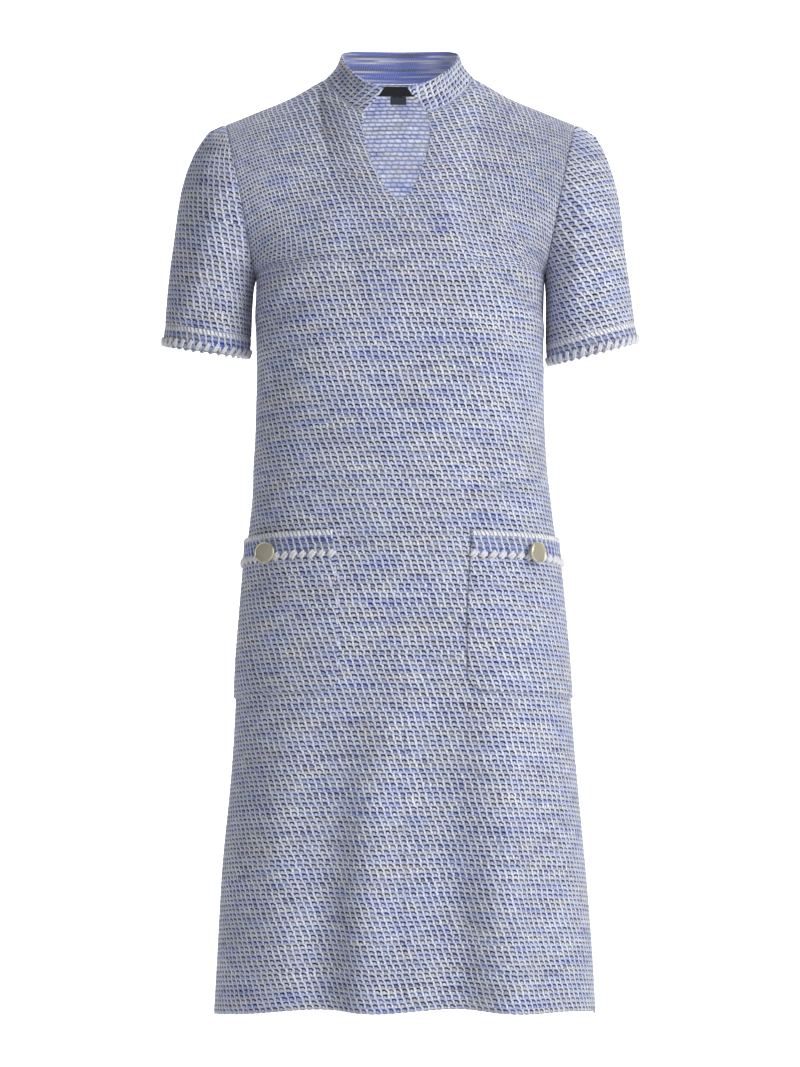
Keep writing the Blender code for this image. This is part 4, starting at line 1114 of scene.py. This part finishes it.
# slanted white whip stitches along the lower edge of each pocket band
for sgn, word in ((-1, "right"), (1, "left")):
    z_mid = POCKET_TOP - BAND_TALL
    start = float(inner_edge(sgn, np.array([z_mid]))[0]) + 0.003
    end = float(on_front(sgn, np.array([[0.1]]), np.array([z_mid]))[2][0]) - 0.011
    paths, radii = [], []
    n_st = int((end - start) / 0.0104)
    for i in range(n_st + 1):
        f0 = start + (end - start) * i / n_st
        jit = rng.uniform(-1, 1, 6)
        lean = 0.0030
        a = (f0 - sgn * lean * 0.9 + 0.0004 * jit[0], z_mid - 0.0014 + 0.0006 * jit[1])
        b = (f0 + sgn * lean * 1.3 + 0.0005 * jit[2], z_mid + 0.0064 + 0.0007 * jit[3])
        ts = np.linspace(0, 1, 8)
        fs = a[0] + (b[0] - a[0]) * ts
        zs = a[1] + (b[1] - a[1]) * ts
        pts, outs, _ = on_front(sgn, fs[:, None], zs)
        arch = 0.0026 + 0.0014 * np.sin(np.pi * ts) - 0.0014 * (1 - np.minimum(ts * 5, 1)) - 0.0014 * (1 - np.minimum((1 - ts) * 5, 1))
        base = pts[:, 0] + outs[:, 0] * (arch + 0.0004 * jit[4])[:, None]
        for strand_no in (-1, 1):
            off = strand_no * 0.00150
            shift = pts[:, 0] * 0
            tang = base[-1] - base[0]
            side_dir = np.cross(outs[:, 0], tang / np.linalg.norm(tang))
            paths.append(base + side_dir * off)
            radii.append(0.00185 + 0.00018 * jit[5])
    o = strands(f"whip_stitch_pocket_{word}", paths, radii, white_yarn)
    put(o, "band_cloth")
    band_objects[sgn, "stitch"] = o

# the same stitches over the free edge of each sleeve
for sgn, word in ((-1, "right"), (1, "left")):
    ks = np.linspace(0.80, 1.0, 41)
    lines = sleeve_rings(sgn, ks)
    closed = np.concatenate([lines, lines[:, :1]], axis=1)
    ring = closed[-1]
    run = np.concatenate([[0], np.cumsum(np.linalg.norm(np.diff(ring, axis=0), axis=1))])
    total = run[-1]
    left = run_along(closed[::-1], 0)[::-1]
    gx = np.gradient(closed, axis=1)
    gy = np.gradient(closed, axis=0)
    nn = np.cross(gx, gy) * (-sgn)
    nn /= np.maximum(np.linalg.norm(nn, axis=-1), 1e-9)[..., None]

    def cuff_point(s, up):
        s = s % total
        j = np.interp(s, run, np.arange(len(run)))
        j0 = min(int(j), len(run) - 2)
        f = j - j0
        colp = closed[:, j0] * (1 - f) + closed[:, j0 + 1] * f
        coln = nn[:, j0] * (1 - f) + nn[:, j0 + 1] * f
        coll = left[:, j0] * (1 - f) + left[:, j0 + 1] * f
        p = np.array([np.interp(-up, -coll, colp[:, c]) for c in range(3)])
        n = np.array([np.interp(-up, -coll, coln[:, c]) for c in range(3)])
        down = colp[-1] - colp[-3]
        return p, n / np.linalg.norm(n), down / np.linalg.norm(down)

    n_st = int(total / 0.0092)
    paths, radii = [], []
    for i in range(n_st):
        s0 = total * i / n_st
        jit = rng.uniform(-1, 1, 6)
        lean = -0.0030 * sgn * -1
        pa, na, da = cuff_point(s0, 0.0)
        pts = []
        for t in np.linspace(0, 1, 9):
            if t < 0.45:        # on the outer face, coming down to the edge
                w = t / 0.45
                p, n, d = cuff_point(s0 + lean * (1 - w) * 1.1, 0.0070 * (1 - w) + 0.0004 * jit[0] + 0.0004)
                pts.append(p + n * (0.0004 + 0.0010 * math.sin(math.pi * min(w + 0.15, 1))))
            else:               # round the edge and up the inner face
                w = (t - 0.45) / 0.55
                p, n, d = cuff_point(s0 - lean * w * 0.8, 0.0)
                turn = math.pi * min(w * 1.35, 1.0)
                centre = p - n * (BAND_CLOTH / 2)
                rr = BAND_CLOTH / 2 + 0.0005
                q3 = centre + n * rr * math.cos(turn) + d * rr * 0.45 * math.sin(turn)
                q3 = q3 - d * (0.004 * max(w - 0.74, 0) / 0.26)
                pts.append(q3)
        pts = np.array(pts)
        tang = pts[3] - pts[0]
        side_dir = np.cross(na, tang / np.linalg.norm(tang))
        for strand_no in (-1, 1):
            paths.append(pts + side_dir * strand_no * 0.0010)
            radii.append(0.00125 + 0.00012 * jit[5])
    o = strands(f"whip_stitch_cuff_{word}", paths, radii, white_yarn)
    put(o, "band_cloth")
    cuffs[sgn, "stitch"] = o

# ---------------------------------------------------------------- buttons
def button_material(name, base, rough, metallic, rib):
    m, shader = new_material(name)
    coord = V.tree.nodes.new("ShaderNodeTexCoord")
    s = V.tree.nodes.new("ShaderNodeSeparateXYZ")
    V.tree.links.new(coord.outputs["Object"], s.inputs[0])
    x, y = V(s.outputs[0]), V(s.outputs[1])
    weave = noise(vec(x * 900.0, y * 900.0, 1.0), 1.0, 2.0, 0.6)
    lines = ((y / 0.0011 + (weave - 0.5) * 0.3).fract() - 0.5).abs().step(0.5, 0.18)
    cross = ((x / 0.0016 + (weave - 0.5) * 0.4).fract() - 0.5).abs().step(0.5, 0.25)
    # the grooves between the woven ribs are painted 30% darker: painted shade
    colour = mix((lines * (0.55 + cross * 0.45) * rib + (1.0 - rib)).clamp(), tuple(0.70 * c for c in base), base)
    V.tree.links.new(colour.s, shader.inputs["Base Color"])
    shader.inputs["Metallic"].default_value = metallic
    wear = noise(vec(x * 300.0, y * 300.0, 3.0), 1.0, 3.0)
    V.tree.links.new(wear.step(0.3, 0.7, rough - 0.05, rough + 0.08).s, shader.inputs["Roughness"])
    bump = V.tree.nodes.new("ShaderNodeBump")
    bump.inputs["Distance"].default_value = 0.0004
    V.tree.links.new(((lines * (0.6 + cross * 0.4)) * rib + wear * 0.1).s, bump.inputs["Height"])
    V.tree.links.new(bump.outputs[0], shader.inputs["Normal"])
    return m


button_face = button_material("button_ribbed_face", (206, 202, 178), 0.34, 0.55, 1.0)
button_rim = button_material("button_rim", (214, 210, 186), 0.30, 0.85, 0.0)


def turned(name, profile, mats, bands, turns=96):
    """A lathed closed shape from (radius, height) pairs, with a material for each band."""
    k = len(profile)
    ang = np.linspace(0, 2 * np.pi, turns, endpoint=False)
    verts, ids = [], np.zeros((k, turns), int)
    for i, (rad, h) in enumerate(profile):
        if rad < 1e-6:
            ids[i] = len(verts)
            verts.append((0, 0, h))
        else:
            ids[i] = np.arange(turns) + len(verts)
            verts += [(rad * math.cos(a), rad * math.sin(a), h) for a in ang]
    faces, fm = [], []
    for i in range(k - 1):
        for j in range(turns):
            a, b = ids[i, j], ids[i, (j + 1) % turns]
            c, d = ids[i + 1, (j + 1) % turns], ids[i + 1, j]
            f = [d, c, b, a]
            f = [x for n, x in enumerate(f) if x not in f[:n]]
            faces.append([int(x) for x in f])
            fm.append(bands[i])
    data = bpy.data.meshes.new(name)
    data.from_pydata([tuple(map(float, v)) for v in verts], [], faces)
    for m in mats:
        data.materials.append(m)
    data.polygons.foreach_set("material_index", fm)
    data.polygons.foreach_set("use_smooth", [True] * len(faces))
    data.update()
    obj = bpy.data.objects.new(name, data)
    bpy.context.scene.collection.objects.link(obj)
    return obj


SHANK_RADIUS, SHANK_TALL = 0.0030, 0.0016
LAID_ON = 0.0008
BUTTONS = {-1: (0.1380, -0.4885, -20.0, -4.0), 1: (0.1350, -0.4880, 4.0, 2.0)}
half = BUTTON_THICK / 2
dome = [(BUTTON_RADIUS * t, half + 0.0006 * (1 - (t / 0.84) ** 2)) for t in np.linspace(0, 0.84, 14)]
edge = [(BUTTON_RADIUS * 0.855, half - 0.0003), (BUTTON_RADIUS * 0.875, half - 0.0002), (BUTTON_RADIUS * 0.90, half + 0.0003),
        (BUTTON_RADIUS * 0.94, half + 0.0004), (BUTTON_RADIUS * 0.975, half + 0.0001), (BUTTON_RADIUS * 0.997, half - 0.0007),
        (BUTTON_RADIUS, 0.0), (BUTTON_RADIUS * 0.97, -half * 0.7), (BUTTON_RADIUS * 0.90, -half), (SHANK_RADIUS + 0.0004, -half),
        (SHANK_RADIUS, -half - 0.0003), (SHANK_RADIUS * 0.9, -half - SHANK_TALL), (0.0, -half - SHANK_TALL)]
profile = dome + edge
bands = [0] * 13 + [1] * 9 + [1] * (len(profile) - 1 - 22)
for sgn, word in ((-1, "right"), (1, "left")):
    x_far, z, lean_out, lean_up = BUTTONS[sgn]
    lo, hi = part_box(f"button_{word}")
    us = np.linspace(0.02, 0.98, 400)
    line = body(-1, sgn, us, rows_of(z) + 0 * us)
    near = np.interp(x_far, np.abs(line[:, 0]), us)
    eps = 0.002
    g = body(-1, sgn, near + np.array([[-eps, 0, eps]] * 3), rows_of(z) + np.array([[-eps] * 3, [0] * 3, [eps] * 3]))
    n = np.cross(g[1, 2] - g[1, 0], g[2, 1] - g[0, 1]) * sgn
    out = Vector(n / np.linalg.norm(n))
    face = Matrix.Rotation(math.radians(lean_out) * sgn, 3, "Z") @ out
    face = Matrix.Rotation(math.radians(lean_up), 3, "X") @ face
    turn = face.to_track_quat("Z", "Y")
    centre = (Vector(lo) + Vector(hi)) / 2
    o = turned(f"dress_button_{word}", profile, [button_face, button_rim], bands)
    o.rotation_mode = "QUATERNION"
    o.rotation_quaternion = turn
    o.location = centre + turn @ Vector((0, 0, SHANK_TALL * 0.5))
    put(o, "button_face", f"button_{word}")

# ---------------------------------------------------------------- labels inside the back neck
nbp = {sgn: body_grid[1, sgn][0] for sgn in (-1, 1)}


def label(name, node, x0, x1, z0, z1, lift, mat, thick=0.0010):
    """A strip on the back panel's inner side."""
    rows = []
    for z in np.linspace(z0, z1, 12):
        got = []
        for x in np.linspace(x0, x1, 40):
            cand = []
            for i in range(len(all_rows) - 26, len(all_rows)):
                line = np.concatenate([nbp[-1][i, :0:-1][-(neck_cut + 6):], nbp[1][i, :neck_cut + 6]])
                cand.append([x, np.interp(x, line[:, 0], line[:, 1]), np.interp(x, line[:, 0], line[:, 2])])
            cand = np.array(cand)
            got.append([x, np.interp(z, cand[:, 2], cand[:, 1]), z])
        rows.append(got)
    p = np.array(rows)
    gx, gy = np.gradient(p, axis=1), np.gradient(p, axis=0)
    n = np.cross(gx, gy)
    n /= np.linalg.norm(n, axis=-1)[..., None]
    if n[5, 20, 1] > 0:
        n = -n
    xs = run_along(p, 1)
    zs = run_along(p, 0)
    uv = np.stack([xs, zs], -1)
    o = slab(name, p, n, uv, lift, thick, [mat], round_by=0.00025)
    put(o, "label_cloth", node)
    return o


label_obj = label("dress_neck_label", "neck_label", -LABEL_WIDE / 2, LABEL_WIDE / 2, LABEL_LOW, LABEL_TOP,
                  CLOTH + 0.0007, black_label)
tab_obj = label("dress_size_tab", "size_tab", TAB_SHIFT - TAB_WIDE / 2, TAB_SHIFT + TAB_WIDE / 2, TAB_LOW, TAB_TOP,
                CLOTH + 0.0007, grey_tab)


# ---------------------------------------------------------------- floor, backdrop, light and camera
floor_mat, sh = new_material("studio_white")
sh.inputs["Base Color"].default_value = (0.93, 0.93, 0.93, 1)
sh.inputs["Roughness"].default_value = 0.9
Z_FLOOR = -1.12
pts, faces = [], []
sweep = [(-9.0, Z_FLOOR), (5.0, Z_FLOOR)] + [(5.0 + 1.2 * math.sin(a), Z_FLOOR + 1.2 - 1.2 * math.cos(a))
                                            for a in np.linspace(0, math.pi / 2, 17)[1:]] + [(6.2, 6.0)]
for x in (-9.0, 9.0):
    pts += [(x, y, z) for y, z in sweep]
k = len(sweep)
faces = [(i, i + 1, i + 1 + k, i + k) for i in range(k - 1)]
data = bpy.data.meshes.new("studio_sweep")
data.from_pydata(pts, [], faces)
data.materials.append(floor_mat)
data.polygons.foreach_set("use_smooth", [True] * len(faces))
sweep_obj = bpy.data.objects.new("studio_sweep", data)
bpy.context.scene.collection.objects.link(sweep_obj)


def soft_light(name, at, to, size, power, colour=(1, 1, 1)):
    data = bpy.data.lights.new(name, "AREA")
    data.shape = "RECTANGLE"
    data.size, data.size_y = size
    data.energy = power
    data.color = colour
    obj = bpy.data.objects.new(name, data)
    obj.location = at
    obj.rotation_mode = "QUATERNION"
    obj.rotation_quaternion = (Vector(to) - Vector(at)).to_track_quat("-Z", "Y")
    bpy.context.scene.collection.objects.link(obj)
    return obj


soft_light("key_right", (2.6, -2.3, 0.9), (0, 0, -0.45), (1.6, 2.2), 100.0, (1.0, 0.99, 0.98))
soft_light("fill_front", (-0.5, -3.4, -0.9), (0, 0, -0.62), (1.6, 1.6), 15.0)
soft_light("top_soft", (0.2, -0.6, 2.6), (0, 0, -0.2), (2.2, 2.0), 10.0)
soft_light("wash_left", (-2.6, 4.4, 1.9), (-0.8, 6.2, -0.2), (2.0, 2.0), 95.0)
soft_light("wash_right", (2.6, 4.4, 1.9), (0.8, 6.2, -0.2), (2.0, 2.0), 95.0)
soft_light("floor_wash", (0.0, 3.0, 2.6), (0.0, 3.2, -1.12), (3.0, 3.0), 190.0)
inner = soft_light("neck_fill", (0.0, -0.040, -0.105), (0.0, 0.070, -0.045), (0.10, 0.07), 0.17)
inner.visible_camera = False

world = bpy.data.worlds.new("studio")
world.use_nodes = True
world.node_tree.nodes["Background"].inputs[0].default_value = (0.96, 0.97, 1.0, 1)
world.node_tree.nodes["Background"].inputs[1].default_value = 0.21
bpy.context.scene.world = world

lens = bpy.data.cameras.new("front_view")
lens.sensor_fit = "VERTICAL"
lens.sensor_height = 36.0
lens.lens = 152.9
camera = bpy.data.objects.new("front_view", lens)
camera.location = (-0.00214, -4.85, -0.4585)
camera.rotation_euler = (math.pi / 2, 0, 0)
lens.clip_end = 30
bpy.context.scene.collection.objects.link(camera)
bpy.context.scene.camera = camera
bpy.context.scene.view_settings.view_transform = "Standard"
bpy.context.scene.view_settings.look = "None"
